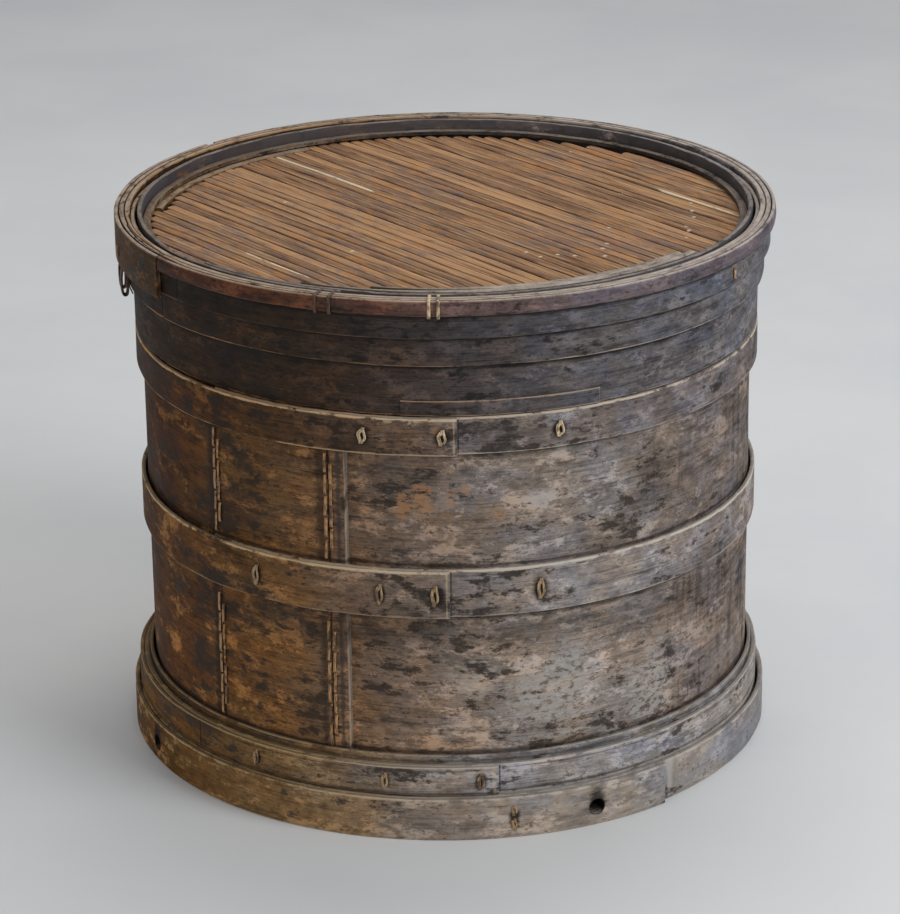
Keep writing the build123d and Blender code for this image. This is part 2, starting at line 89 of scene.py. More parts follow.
# %% Camera
camera_place = (0, -2.759, 1.2706)
tilt_down, turn_aside, roll_over = 0.3629, -0.0006, -0.0118
camera_data = bpy.data.cameras.new("camera")
camera_data.lens = 140
camera_data.sensor_width = 36
camera_data.sensor_fit = "HORIZONTAL"
camera_data.clip_end = 50
camera = bpy.data.objects.new("camera", camera_data)
bpy.context.scene.collection.objects.link(camera)
camera.matrix_world = (Matrix.Translation(camera_place) @ Matrix.Rotation(turn_aside, 4, "Z")
                       @ Matrix.Rotation(math.pi / 2 - tilt_down, 4, "X")
                       @ Matrix.Rotation(roll_over, 4, "Z"))
bpy.context.scene.camera = camera
bpy.context.scene.view_settings.view_transform = "Standard"
print("camera at", [round(v, 3) for v in camera.location])

# %% [markdown]
# ## Light
# Soft light suits dry, dusty wood. One very large lamp stands in for a window at the right, a weak
# one fills the left, and the sky lifts the shadows. Big lamps give the slow change from light to
# dark that shows how round the wall is.


# %% Light
def soft_lamp(name, place, aim, size, power, colour):
    data = bpy.data.lights.new(name, "AREA")
    data.shape = "DISK"
    data.size = size
    data.energy = power
    data.color = colour
    lamp = bpy.data.objects.new(name, data)
    lamp.location = place
    lamp.rotation_euler = (Vector(aim) - Vector(place)).to_track_quat("-Z", "Y").to_euler()
    bpy.context.scene.collection.objects.link(lamp)


soft_lamp("window", (2.3, -1.5, 2.2), (0, 0, 0.25), 1.8, 62, (0.94, 0.97, 1.0))
soft_lamp("overhead", (0.3, 1.2, 3.0), (0, 0, 0.3), 2.0, 34, (1.0, 0.99, 0.97))
soft_lamp("fill", (-2.4, -2.4, 1.5), (0, 0, 0.25), 2.4, 9, (1.0, 0.88, 0.72))
sky = bpy.data.worlds.new("sky")
sky.use_nodes = True
sky_colour, sky_strength = sky.node_tree.nodes["Background"].inputs[:2]
sky_colour.default_value = (0.93, 0.96, 1.0, 1)
sky_strength.default_value = 0.42
bpy.context.scene.world = sky

# %% [markdown]
# ## Paint pots
# Colours are easier to think of in everyday 0 to 255 values, so one helper turns them into the
# linear values that shaders want. Values over 255 lighten what they multiply.


# %% Paint pots
def paint(red, green, blue):
    """Everyday colour values to the linear colour a shader wants."""
    linear = [v / 255 / 12.92 if v < 10.3 else ((v / 255 + 0.055) / 1.055) ** 2.4
              for v in (red, green, blue)]
    return (*linear, 1.0)


print("middle grey is", [round(v, 3) for v in paint(128, 128, 128)])

# %% [markdown]
# ## Recipes
# A material is a recipe: a list of small steps that end in one shader. Each helper adds shader
# nodes and wires them in. The recipe keeps the colour so far, and each step lays a bit more over
# it, from bare wood to dust.


# %% Recipes
class Recipe:
    """One material, written as a list of steps."""

    def __init__(self, name):
        self.material = bpy.data.materials.new(name)
        self.material.use_nodes = True
        self.tree = self.material.node_tree
        self.shader = self.tree.nodes["Principled BSDF"]
        self.place = self.add("TexCoord").outputs["Object"]
        self.x, self.y, self.z = self.split(self.place)
        self.colour = None

    def add(self, kind, values=None, **settings):
        step = self.tree.nodes.new("ShaderNode" + kind)
        for key, value in settings.items():
            setattr(step, key, value)
        for socket, value in (values or {}).items():
            self.put(step, socket, value)
        return step

    def put(self, step, socket, value):
        """Wires a value into a socket, or sets it there if it is constant."""
        if isinstance(value, bpy.types.NodeSocket):
            self.tree.links.new(value, step.inputs[socket])
        else:
            step.inputs[socket].default_value = value

    def split(self, vector):
        return self.add("SeparateXYZ", {0: vector}).outputs

    def join(self, x, y, z=0.0):
        return self.add("CombineXYZ", {0: x, 1: y, 2: z}).outputs[0]

    def math(self, operation, a, b=0.0):
        return self.add("Math", {0: a, 1: b}, operation=operation).outputs[0]

    def times(self, *values):
        """All the values multiplied."""
        product = values[0]
        for value in values[1:]:
            product = self.math("MULTIPLY", product, value)
        return product

    def blend(self, *shares):
        """Adds up (value, share) pairs, each value times its share."""
        total = 0.0
        for value, share in shares:
            total = self.math("ADD", self.math("MULTIPLY", value, share), total)
        return total

    def vector(self, operation, a, b=(0, 0, 0)):
        made = self.add("VectorMath", {0: a, 1: b}, operation=operation)
        measures = ("LENGTH", "DISTANCE", "DOT_PRODUCT")
        return made.outputs["Value" if operation in measures else "Vector"]

    def noise(self, vector, detail, rough):
        """Noise of one wave to each unit of the vector."""
        made = self.add("TexNoise", {"Vector": vector, "Scale": 1.0, "Detail": detail,
                                     "Roughness": rough})
        return made.outputs["Fac"]

    def stretch(self, x, y, z, shift=0.0):
        """The place with x, y and z waves to the metre, for a noise."""
        return self.add("Mapping", {"Vector": self.place, "Scale": (x, y, z),
                                    "Location": (shift, shift, shift)}).outputs[0]

    def between(self, value, low, high):
        """0 below low, 1 above high, and smooth in between. low may be the larger one."""
        limits = {0: value, 1: low, 2: high}
        return self.add("MapRange", limits, interpolation_type="SMOOTHSTEP").outputs[0]

    def mix(self, share, a, b, blend="MIX"):
        made = self.add("Mix", {0: share, 6: a, 7: b}, data_type="RGBA", blend_type=blend)
        return made.outputs[2]

    def lay(self, where, tint, share=1.0):
        """Lays a tint over the colour so far, where the value is 1."""
        tint = paint(*tint) if isinstance(tint, tuple) else tint
        where = where if share == 1.0 else self.times(where, share)
        self.colour = self.mix(where, self.colour, tint)

    def wash(self, where, tint):
        """Multiplies the colour so far with a tint, where the value is 1."""
        washed = self.mix(1.0, self.colour, paint(*tint), "MULTIPLY")
        self.colour = self.mix(where, self.colour, washed)

    def finish(self, rough, bump, strength, depth):
        """Wires the colour, the roughness and a bump of some depth into the shader."""
        raised = self.add("Bump", {"Strength": strength, "Distance": depth, "Height": bump})
        self.put(self.shader, "Base Color", self.colour)
        self.put(self.shader, "Roughness", rough)
        self.put(self.shader, "Normal", raised.outputs[0])
        return self.material


print("steps of a recipe:", [step for step in vars(Recipe) if step[0] != "_"])

# %% [markdown]
# ## Grain of a bent strip
# Bamboo and thin sheet wood carry long fibres that run round the basket. Noise squeezed thin in
# height and left long across gives those fibres without unwrapping. The distance from the middle
# is added to the height, so that the fibres also run round on an edge that lies flat.


# %% Grain of a bent strip
class Grain(Recipe):
    """A recipe that starts with the noises of one bent strip."""

    def __init__(self, name, seed):
        super().__init__(name)
        self.rise = self.math("ADD", self.z, self.vector("LENGTH", self.join(self.x, self.y)))
        self.seed = seed
        self.fibre = self.layer(16, 820, 4, 0.6, 0.0)
        self.mottle = self.layer(48, 105, 9, 0.78, 1.3)
        self.streak = self.layer(14, 110, 7, 0.72, 3.1)
        self.cloud = self.layer(13, 24, 9, 0.7, 5.7)
        self.fleck = self.layer(140, 240, 4, 0.7, 7.9)
        self.pale = self.layer(24, 46, 9, 0.75, 9.5)

    def layer(self, along, over, detail, rough, shift):
        """Noise with so many waves to the metre along the strip and over its height."""
        scaled = self.join(self.times(self.x, along), self.times(self.y, along),
                           self.times(self.rise, over))
        moved = self.vector("ADD", scaled, (self.seed + shift, shift, self.seed))
        return self.noise(moved, detail, rough)


print("layers of grain: fibre, mottle, streak, cloud, fleck and pale")

# %% [markdown]
# ## Bare wood
# The right side has bleached to grey while the left stayed brown, so the colour drifts from one to
# the other, and the cloud layer frays that drift. On the smoked strips part of that grey is a
# painted sheen. The far left gets painted shade, the gloom tint, which darkens and warms it.
# Scraped places are lighter. A slow change between a cooler and a warmer tint keeps large faces
# from looking flat. Here and below, g is the recipe.


# %% Bare wood
def bare_wood(g, warm, cool, turn, gloom, scrape, bleach):
    """warm and cool are (dark, light) colours of the two sides, gloom shades the far left."""
    cloud_share, cloud_middle = 0.14, 0.07
    g.side = g.between(g.blend((g.x, 1.0), (g.cloud, cloud_share)),
                       turn[0] + cloud_middle, turn[1] + cloud_middle)
    g.tone = g.between(g.blend((g.mottle, 0.55), (g.streak, 0.25), (g.fibre, 0.2)), 0.37, 0.62)
    brown = g.mix(g.tone, paint(*warm[0]), paint(*warm[1]))
    grey = g.mix(g.tone, paint(*cool[0]), paint(*cool[1]))
    g.colour = g.mix(g.side, brown, grey)
    # Painted shade: the gloom tint darkens and warms the far left.
    g.wash(g.between(g.x, -0.13, -0.25), gloom)
    g.light = g.mix(g.side, paint(*(min(255, v * 1.22) for v in warm[1])),
                    paint(*(min(255, v * 1.15) for v in cool[1])))
    g.lay(g.between(g.blend((g.pale, 0.62), (g.mottle, 0.38)), 0.51, 0.575), g.light, scrape)
    if bleach:
        start, end, tint, share = bleach
        g.lay(g.between(g.blend((g.x, 1.0), (g.streak, 0.01)), start, end), tint, share)
    drift = g.between(g.layer(21, 30, 6, 0.66, 15.3), 0.38, 0.6)
    tinted = g.mix(drift, paint(236, 243, 255), paint(255, 238, 214))
    g.colour = g.mix(0.6, g.colour, tinted, "MULTIPLY")


print("bare_wood() lays the first colours")

# %% [markdown]
# ## Stains
# Damp creeps along the grain, so a stain is a threshold on a blend of noises, frayed by the
# fibres. Flecks and pale specks break up what is left. The wall also has thin dark veins where its
# skin has cracked, and runs where water came down on the right.


# %% Stains
def stains(g, stain, share, runs, veins):
    """share moves the threshold, so that more or less of the strip is stained."""
    patch = g.blend((g.cloud, 0.46), (g.streak, 0.18), (g.mottle, 0.36), (g.x, -0.07))
    level = 0.63 - 0.22 * share
    deep = g.math("ADD", 0.5, g.times(g.between(g.mottle, 0.42, 0.55), 0.42))
    g.stained = g.times(g.between(patch, level - 0.005, level + 0.05), deep)
    g.lay(g.stained, stain)
    g.lay(g.times(g.between(g.fleck, 0.54, 0.62), g.between(g.mottle, 0.47, 0.56)), stain, 0.65)
    g.lay(g.between(g.fleck, 0.3, 0.26), g.light, 0.55)
    if runs:
        run = g.between(g.layer(95, 9, 6, 0.7, 12.1), 0.5, 0.6)
        g.lay(g.times(run, g.between(g.x, 0.12, 0.2), g.between(g.cloud, 0.4, 0.56)), stain,
              runs)
    if veins:
        line = g.math("ABSOLUTE", g.math("SUBTRACT", g.pale, 0.5))
        g.lay(g.times(g.between(line, 0.007, 0.002), g.between(g.cloud, 0.55, 0.42)), stain,
              veins)


print("stains() lays damp, flecks, runs and veins")

# %% [markdown]
# ## Washes, seams and belts
# Some marks have a place. A wash tints one side or one stretch of height; on the far left and
# right it is painted shade, where the strips turn away from the light. A seam is an upright line
# at one angle, such as the painted shadow at a free end, and a belt is a level band of painted
# shade, with some dirt, such as under a hoop. Each is a distance from a line, frayed by noise
# before a threshold cuts it.


# %% Washes, seams and belts
def washed(g, washes):
    """Washes are (from, to) in x, (from, to) in height, and a tint."""
    # Most washes are painted shade on the far sides; one lightens the lower wall.
    for (x0, x1), (z0, z1), tint in washes:
        g.wash(g.times(g.between(g.x, x0 * mm, x1 * mm), g.between(g.z, z0 * mm, z1 * mm)), tint)


def lined(g, seams, belts, stain):
    """Seams are (angle, reach, tint, share), belts are (height, reach, share)."""
    turned = g.times(g.math("ARCTAN2", g.x, g.times(g.y, -1)), math.degrees(1))
    # Seams in the darkest colour are painted shadows at free ends and painted shade along stitch
    # rows.
    for angle, reach, tint, share in seams:
        off = g.math("ABSOLUTE", g.math("SUBTRACT", turned, angle))
        off = g.blend((off, 1.0), (g.mottle, 2.4 * reach), (g.cloud, 2.4 * reach))
        g.lay(g.between(off, 3.3 * reach, 2.5 * reach), tint, share)
    # Belts are painted shade, with some dirt, along the edges of hoops and strips that overhang.
    for height, reach, share in belts:
        reach *= mm
        off = g.math("ABSOLUTE", g.math("SUBTRACT", g.z, height * mm))
        off = g.blend((off, 1.0), (g.streak, 2.2 * reach), (g.cloud, 2.2 * reach))
        g.lay(g.between(off, 3.1 * reach, 2.1 * reach), stain, share)


print("marks along lines: washed() and lined()")

# %% [markdown]
# ## Chips, spots and holes
# Other marks sit at one point: chips where the skin has flaked off, dark spots of painted shade
# round the stitches and of soot round two cord holes, and painted shade in the cord holes. They
# could be painted by hand, but a distance from a point does the same at any size. Depth counts for
# only a fifth of it, so a mark also darkens the hole below it.


# %% Chips, spots and holes
def from_point(g, face, angle, height, size=1.0, tall=1.0, fray=0.0):
    """Distance from a point on the face of a strip. Height counts less for a tall mark."""
    out = outward(angle)
    away = g.vector("SUBTRACT", g.place, polar(face, angle, height))
    deep = g.vector("MULTIPLY", g.times(g.vector("DOT_PRODUCT", away, out), 0.8), out)
    away = g.vector("SUBTRACT", away, deep)
    away = g.vector("LENGTH", g.vector("MULTIPLY", away, (1, 1, 1 / tall)))
    return g.blend((away, 1.0), (g.streak, fray * size * mm), (g.mottle, fray * size * mm))


def chipped(g, face, chips):
    """Chips are (angle, height, size, how tall, tint)."""
    for angle, height, size, tall, tint in chips:
        away = g.blend((from_point(g, face, angle, height, size, tall, 6), 1.0),
                       (g.pale, 4 * size * mm))
        chip = g.between(away, 9.6 * size * mm, 8.8 * size * mm)
        g.lay(g.times(chip, g.between(g.fleck, 0.58, 0.48)), tint, 0.6)


def spotted(g, face, spots):
    """Spots are (angle, height, size, how tall): painted shade at stitches, soot at cord holes."""
    for angle, height, size, tall in spots:
        away = from_point(g, face, angle, height, size, tall, 0.9)
        g.lay(g.between(away, 1.9 * size * mm, 1.3 * size * mm), shade_and_soot, 0.9)


def holed(g, face, angles):
    """Blackens the bore and the rim of each cord hole with painted shade."""
    for angle in angles:
        away = from_point(g, face, angle, rope_hole_height)
        g.lay(g.between(away, (rope_hole_radius + 0.9) * mm, (rope_hole_radius + 0.4) * mm),
              hole_black)


# The first colour is painted shade in the bores; the second is painted shade at stitches and lap
# ends, and soot round two cord holes.
hole_black, shade_and_soot = (14, 11, 9), (24, 18, 15)
rope_holes = [25.3, 115.3, 205.3, -64.7]
rope_hole_height, rope_hole_radius = 16, 6.5
print("cord holes at", rope_holes, "degrees")

# %% [markdown]
# ## Rubbed edges, smoke and dust
# Hands and floors rub the skin off the edges of a strip, so a frayed pale line follows its top and
# bottom. Smoke darkens what sat close to the fire. Dust settles where a face looks up, which the
# normal of the surface tells.


# %% Rubbed edges, smoke and dust
def rubbed(g, low, high, width, worn, rub, low_rub):
    """Pale lines along the edges at low and high, width wide."""
    low, high, width = low * mm, high * mm, width * mm
    fray = 1.6 * width
    height = g.math("SUBTRACT", g.blend((g.z, 1.0), (g.streak, fray), (g.mottle, fray)), fray)
    near_top = g.between(height, high - width, high - 0.6 * width)
    near_low = g.between(height, low + 0.7 * width, low + 0.35 * width)
    edge = g.math("MAXIMUM", near_top, g.times(near_low, low_rub))
    edge = g.times(edge, g.between(g.blend((g.cloud, 0.5), (g.mottle, 0.5)), 0.42, 0.49))
    g.lay(edge, g.mix(g.side, paint(*worn[0]), paint(*worn[1])), rub)


def smoked(g, low, high, share):
    """Smoke that grows from one height to another."""
    near_fire = g.between(g.blend((g.z, 1.0), (g.streak, 0.01)), low * mm, high * mm)
    smoke_grey = (66, 63, 66)
    g.lay(g.times(near_fire, g.between(g.pale, 0.72, 0.58)), smoke_grey, share)


def dusted(g, dust, grime):
    """dust is (dark, light) on the right, and grime tints it on the left."""
    facing = g.split(g.add("NewGeometry").outputs["Normal"])[2]
    lying = g.times(g.between(facing, 0.55, 0.85), g.between(g.mottle, 0.38, 0.5))
    clean = g.mix(g.tone, paint(*dust[0]), paint(*dust[1]))
    g.lay(lying, g.mix(g.side, g.mix(1.0, clean, paint(*grime), "MULTIPLY"), clean), 0.85)


print("last coats: rubbed(), smoked() and dusted()")

# %% [markdown]
# ## The whole finish
# The coats go on in the order in which time put them on: bare wood, stains, marks, rubbing, smoke
# and dust, and some of the marks are painted shade. Stained wood is a little smoother than dry
# wood, and the noises also raise the surface, so the light shows the grain too.


# %% The whole finish
def weathered(name, warm, cool, stain, seed, edges=None, worn=((186, 150, 104), (172, 160, 146)),
              stain_share=0.5, turn=(-0.17, 0.08), gloom=(204, 178, 122), scrape=0.6,
              bleach=None, runs=0.0, veins=0.0, washes=(), seams=(), belts=(), chips=(),
              spots=(), holes=(), face=262.0, rub=0.75, low_rub=0.7, smoke=None,
              dust=((104, 94, 86), (142, 134, 130)), grime=(236, 228, 216), sheen=0.66,
              fibre_depth=0.0006):
    """Finish of one strip.

    turn is where brown gives way to grey, from and to in x. Shares such as scrape, runs, veins
    and rub go from 0 to 1, and face is the radius of the outer side, where the marks sit.
    """
    g = Grain(name, seed)
    bare_wood(g, warm, cool, turn, gloom, scrape, bleach)
    stains(g, stain, stain_share, runs, veins)
    washed(g, washes)
    lined(g, seams, belts, stain)
    chipped(g, face, chips)
    spotted(g, face, spots)
    if edges:
        rubbed(g, *edges, worn, rub, low_rub)
    if smoke:
        smoked(g, *smoke)
    holed(g, face, holes)
    dusted(g, dust, grime)
    g.lay(g.between(g.fibre, 0.37, 0.31), stain, 0.3)
    rough = g.math("SUBTRACT", sheen + 0.14, g.times(g.stained, 0.14))
    g.shader.inputs["Specular IOR Level"].default_value = 0.25
    return g.finish(rough, g.blend((g.fibre, 0.25), (g.mottle, 0.45), (g.fleck, 0.3)), 0.7,
                    fibre_depth)


print("weathered() makes one strip's finish")

# %% [markdown]
# ## Path and cross-section of a strip
# Each strip is one cross-section with rubbed corners, carried round the basket. Its path is a
# short list of stations: an angle, the radius of the inner face and the thickness. So one helper
# makes plain hoops, hoops whose end laps over their start, and strips with a feathered end.


# %% Path and cross-section of a strip
def section(low, high, corner, rows):
    """Corner points of a strip as (share of thickness, height, which edge)."""
    flat = high - low - 2 * corner
    points = [(0, low + corner + flat * i / rows, 0) for i in range(rows + 1)]
    points += [(0.1, high - 0.3 * corner, 1), (0.35, high, 1), (0.65, high, 1),
               (0.9, high - 0.3 * corner, 1)]
    points += [(1, high - corner - flat * i / rows, 0) for i in range(rows + 1)]
    points += [(0.9, low + 0.3 * corner, -1), (0.65, low, -1), (0.35, low, -1),
               (0.1, low + 0.3 * corner, -1)]
    return points


def at_angle(stations, angle):
    """Radius and thickness of a path at an angle."""
    for (a0, r0, t0), (a1, r1, t1) in zip(stations, stations[1:]):
        if angle <= a1:
            share = (angle - a0) / (a1 - a0)
            return r0 + (r1 - r0) * share, t0 + (t1 - t0) * share
    return stations[-1][1:]


def feathered(radius, thickness, start):
    """Stations of a hoop whose two thinned ends lie over each other."""
    span, tip = 24.0, 0.8
    thinned = thickness - tip - lap_gap
    return [(start, radius, tip), (start + span, radius, thinned),
            (start + span + 0.2, radius, thickness), (start + 359.8, radius, thickness),
            (start + 360, radius + tip + lap_gap, thinned),
            (start + 360 + span, radius + thinned, 0.3 * tip)]


def lapped(radius, thickness, end):
    """Stations of a hoop whose outer end laps over its inner end at full thickness."""
    lap, rise = 46.5, 30
    inner_end = end - lap
    outer = radius + thickness + lap_gap
    return [(inner_end, radius, thickness), (inner_end + 360 - rise, radius, thickness),
            (inner_end + 360, outer, thickness), (end + 360, outer, thickness)]


lap_gap = 0.2
print("a hoop section has", len(section(0, 40, 1, 6)), "points")

# %% [markdown]
# ## Drawing a strip by hand
# The section is set down at every degree of the path and the rings are joined into a skin. A
# little noise bends the faces and edges, mostly inward, so that the strip stays within its solid.
# A bent cube would be quicker, but its edges would be ruler-straight.


# %% Drawing a strip by hand
def wander(angle, height, pace, seed):
    """Smooth noise on the wall, about -1 to 1."""
    turn = math.radians(angle)
    place = Vector((math.sin(turn) * pace, math.cos(turn) * pace, height * 0.01))
    return noise.noise(place + Vector((seed, seed * 0.7, seed * 1.3))) * 1.6


def edge_lift(angle, edge, seed):
    """How far a shaved edge strays from its level."""
    lift = edge_wave * (wander(angle, 0, 5, seed + 3 * edge)
                        + 0.5 * wander(angle, 0, 40, seed + 5 * edge))
    return min(lift, most_proud) if edge == 1 else max(lift, -most_proud)


def skin(bm, rings):
    """Joins rings of points into a closed skin."""
    for ring, after in zip(rings, rings[1:]):
        for k in range(len(ring)):
            n = (k + 1) % len(ring)
            bm.faces.new((ring[k], ring[n], after[n], after[k]))
    bm.faces.new(rings[0])
    bm.faces.new(list(reversed(rings[-1])))


def draw_strip(bm, stations, low, high, corner=1.1, rows=6, wave=0.35, seed=1.0,
               keep_low=False, keep_high=False, crown=0.0):
    """Adds one bent strip to bm. A kept edge stays straight, and a crown rounds the back."""
    outline = section(low, high, corner, rows)
    start, end = stations[0][0], stations[-1][0]
    steps = int(end - start)
    rings = []
    for i in range(steps + 1):
        angle = start + (end - start) * i / steps
        radius, thickness = at_angle(stations, angle)
        ring = []
        for depth, height, edge in outline:
            straight = edge == 0 or edge == 1 and keep_high or edge == -1 and keep_low
            lift = 0.0 if straight else edge_lift(angle, edge, seed)
            at = radius + depth * thickness
            if depth > 0.5:
                share = (height - low) / (high - low)
                at += min(wave * (wander(angle, height, 6, seed) - 0.7), most_proud)
                at += crown * (4 * share * (1 - share) - 1)
            ring.append(bm.verts.new(polar(at, angle, height + lift)))
        rings.append(ring)
    skin(bm, rings)


edge_wave, most_proud = 0.5, 0.05
print("edges stray by about", edge_wave, "mm, and outward by", most_proud, "mm at most")

# %% [markdown]
# ## From drawn faces to a piece
# A drawn piece needs smooth shading, a finish, and two facts for the frame: it rides with the
# body, and it replaces one built solid. Sharper creases stay hard, so the ends of a strip look
# cut.


# %% From drawn faces to a piece
def add_object(name, bm):
    """Turns drawn faces into an object of the scene."""
    mesh = bpy.data.meshes.new(name)
    bm.to_mesh(mesh)
    bm.free()
    made = bpy.data.objects.new(name, mesh)
    bpy.context.scene.collection.objects.link(made)
    return made


def finish_mesh(name, bm, finish, node, sharp=38):
    """Turns drawn faces into a smooth piece that stands for a built one."""
    bmesh.ops.recalc_face_normals(bm, faces=bm.faces)
    piece = add_object(name, bm)
    piece.data.polygons.foreach_set("use_smooth", [True] * len(piece.data.polygons))
    piece.data.set_sharp_from_angle(angle=math.radians(sharp))
    piece.data.materials.append(finish)
    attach(piece, "root")
    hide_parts(node)
    return piece


def strip_piece(name, node, stations, finish, slot="hoop_bamboo", **shape):
    """Draws a strip as high as the built piece that it stands for."""
    bm = bmesh.new()
    draw_strip(bm, stations, *heights(node), **shape)
    return finish_mesh(name, bm, finish, node)


print("every strip rides with the body root")

# %% [markdown]
# ## The wall
# The wall is one thin sheet, bent round and lapped on itself at the front left, where its outer
# end makes the straight step beside the stitches. A tube would lose the lap, so it is drawn as one
# tall strip that spirals out by its own thickness.

# %% The wall
wall_stain = (38, 29, 23)
ochre = (172, 124, 82)
bare_patch = (176, 171, 165)
any_side, any_height = (-400, -390), (-1, 0)
wall_finish = weathered(
    "wall_sheet_finish", ((56, 36, 16), (150, 108, 62)), ((80, 73, 69), (166, 155, 148)),
    wall_stain, seed=2.0, stain_share=0.56, face=252.3, gloom=(198, 168, 112), scrape=0.72,
    runs=0.5, veins=0.7, smoke=(400, 436, 0.85), fibre_depth=0.0009, holes=rope_holes,
    # The narrow seams in the darkest colour are painted shade along the two stitch rows.
    seams=((-47.5, 1.9, wall_stain, 0.8), (-23, 1.3, wall_stain, 0.6),
           (-19.7, 0.7, (58, 54, 54), 0.75), (-46, 0.3, shade_and_soot, 0.9),
           (-21.5, 0.32, shade_and_soot, 0.9), (-18.4, 0.26, (172, 160, 146), 0.75)),
    # The belts are painted shade, with some dirt, under and beside the hoops.
    belts=((322, 5, 0.7), (228, 2.5, 0.7), (186, 6, 0.65), (68, 4.5, 0.8), (165, 20, 0.42)),
    chips=((-4.5, 284, 5, 2.4, ochre), (0.5, 281, 4.5, 1.8, ochre), (9, 271, 4, 1.3, ochre),
           (-8, 276, 4, 2.0, ochre), (3, 294, 3, 1.2, ochre),
           (-46, 271, 2.2, 1.8, (188, 186, 182)), (20, 116, 26, 0.9, bare_patch),
           (40, 104, 18, 1.1, bare_patch), (4, 128, 14, 0.8, (170, 160, 148))),
    # The washes lighten the lower wall and lay painted shade on the far right and the upper far
    # left.
    washes=((any_side, (240, 140), (280, 276, 270)),
            ((110, 215), any_height, (216, 212, 213)),
            ((-185, -225), (200, 262), (222, 210, 172))))
wall_path = [(-49, 245), (-18.5, 245), (7.5, 248), (285, 248), (311, 249.5), (341.5, 249.5)]
wall = strip_piece("wall_sheet", "shell_sheet", [(a, r, 4.3) for a, r in wall_path],
                   wall_finish, "bent_sheet", corner=0.8, rows=60, wave=0.5, seed=2.0)
print("wall points:", len(wall.data.vertices))

# %% [markdown]
# ## Finish of the smoked strips
# This end sat over the fire, so its strips are black with smoke, with a grey bloom on the right
# that is partly dust and partly a painted sheen of the window light, and rubbed pale lower edges.
# What they share is kept in one place, and each strip adds what is its own.

# %% Finish of the smoked strips
rim_dust = ((116, 104, 96), (186, 174, 164))
# In the smoked finishes the cool colours, grey on the right, are partly dust and partly a painted
# sheen.
smoked_wood = {"sheen": 0.56, "turn": (-0.14, 0.22), "low_rub": 1.0}
smoked_face = {"warm": ((19, 11, 5), (74, 52, 33)), "cool": ((44, 42, 47), (122, 120, 126)),
               "stain": (16, 12, 10), "worn": ((164, 124, 80), (168, 152, 136)),
               "scrape": 0.62, **smoked_wood}
# The belts of the smoked strips are painted shade under the strip that overhangs them.
third_finish = weathered(
    "third_band_finish", seed=4.0, edges=(*heights("third_band"), 2.0), stain_share=0.48,
    rub=0.9, belts=((393, 3.5, 0.8),), dust=rim_dust, face=257.6, **smoked_face)
second_finish = weathered(
    "second_band_finish", seed=6.0, edges=(*heights("second_band"), 2.0), stain_share=0.44,
    rub=0.9, belts=((417, 3, 0.8),), dust=rim_dust, **smoked_face)
patch_finish = weathered(
    "band_patch_finish", seed=4.4, edges=(*heights("band_patch"), 1.3), stain_share=0.48,
    seams=((26.9, 0.05, (168, 156, 142), 0.9),), **smoked_face)
first_finish = weathered(
    "first_band_finish", ((17, 10, 5), (62, 44, 28)), ((46, 45, 50), (118, 117, 124)),
    (14, 10, 9), seed=8.0, edges=(*heights("first_band"), 1.4), rub=0.7,
    worn=((122, 92, 62), (130, 118, 108)), belts=((436, 3, 0.8),), dust=rim_dust, **smoked_wood)
end_finish = weathered(
    "rim_end_finish", ((54, 38, 23), (126, 98, 68)), ((60, 56, 56), (124, 116, 110)),
    (17, 12, 10), seed=9.0, edges=(*heights("rim_end_band"), 1.6), rub=0.6, sheen=0.56,
    worn=((122, 92, 66), (128, 116, 106)), dust=rim_dust)
rim_finish = weathered(
    "rim_hoop_finish", ((36, 16, 8), (112, 66, 38)), ((64, 55, 59), (130, 116, 119)),
    (22, 13, 9), seed=10.0, edges=(*heights("rim_hoop"), 1.4), stain_share=0.46, rub=0.5,
    sheen=0.4, turn=(-0.14, 0.16), worn=((150, 104, 66), (150, 136, 126)),
    # The belt is painted shade along the lower edge, and the wash is painted shade at the far
    # right.
    belts=((437, 1.2, 0.9),), washes=(((110, 185), any_height, (222, 222, 228)),),
    dust=((128, 114, 102), (186, 174, 164)))
print("six smoked finishes ready")

# %% [markdown]
# ## Smoked strips round the fire end
# Three strips of bamboo are nested round the top, each lower one thinner and closer to the wall,
# so they step in like a stair. A thin patch lies on the lowest one at the front. A split hoop with
# a rounded back caps them and ends at the left in a taller strip.

# %% Smoked strips
rim_inside, rim_thick = 267.2, 3.8
for name, node, stations, finish, shape in (
        ("third_strip", "third_band", feathered(254.0, 3.4, 150), third_finish,
         {"rows": 10, "seed": 11}),
        ("second_strip", "second_band", feathered(257.7, 4.5, -83), second_finish,
         {"rows": 8, "seed": 12, "keep_high": True}),
        ("first_strip", "first_band", feathered(262.5, 4.4, -76), first_finish,
         {"rows": 6, "seed": 13, "keep_high": True}),
        ("patch_strip", "band_patch", [(-8, 257.6, 0.1), (2, 257.6, 1.0), (27, 257.6, 1.0)],
         patch_finish, {"corner": 0.3, "rows": 3, "seed": 14, "wave": 0.1}),
        ("rim_split_hoop", "rim_hoop",
         [(-56.4, rim_inside, rim_thick), (228, rim_inside, rim_thick)], rim_finish,
         {"corner": 1.3, "rows": 5, "seed": 15, "keep_high": True, "crown": 0.9}),
        ("rim_tall_end", "rim_end_band",
         [(230, rim_inside, rim_thick), (303.2, rim_inside, rim_thick)], end_finish,
         {"rows": 6, "seed": 16, "keep_high": True})):
    strip_piece(name, node, stations, finish, "sooted_bamboo", **shape)
print("six smoked strips drawn")

# %% [markdown]
# ## Hoops round the wall
# Two flat hoops grip the wall. Each runs round once and laps over its own start at the front,
# where the free end shows as a square step with a pale cut face and a thin painted shadow. A dark
# spot of painted shade lies at each stitch, in the hollow where it pulls the lap tight.

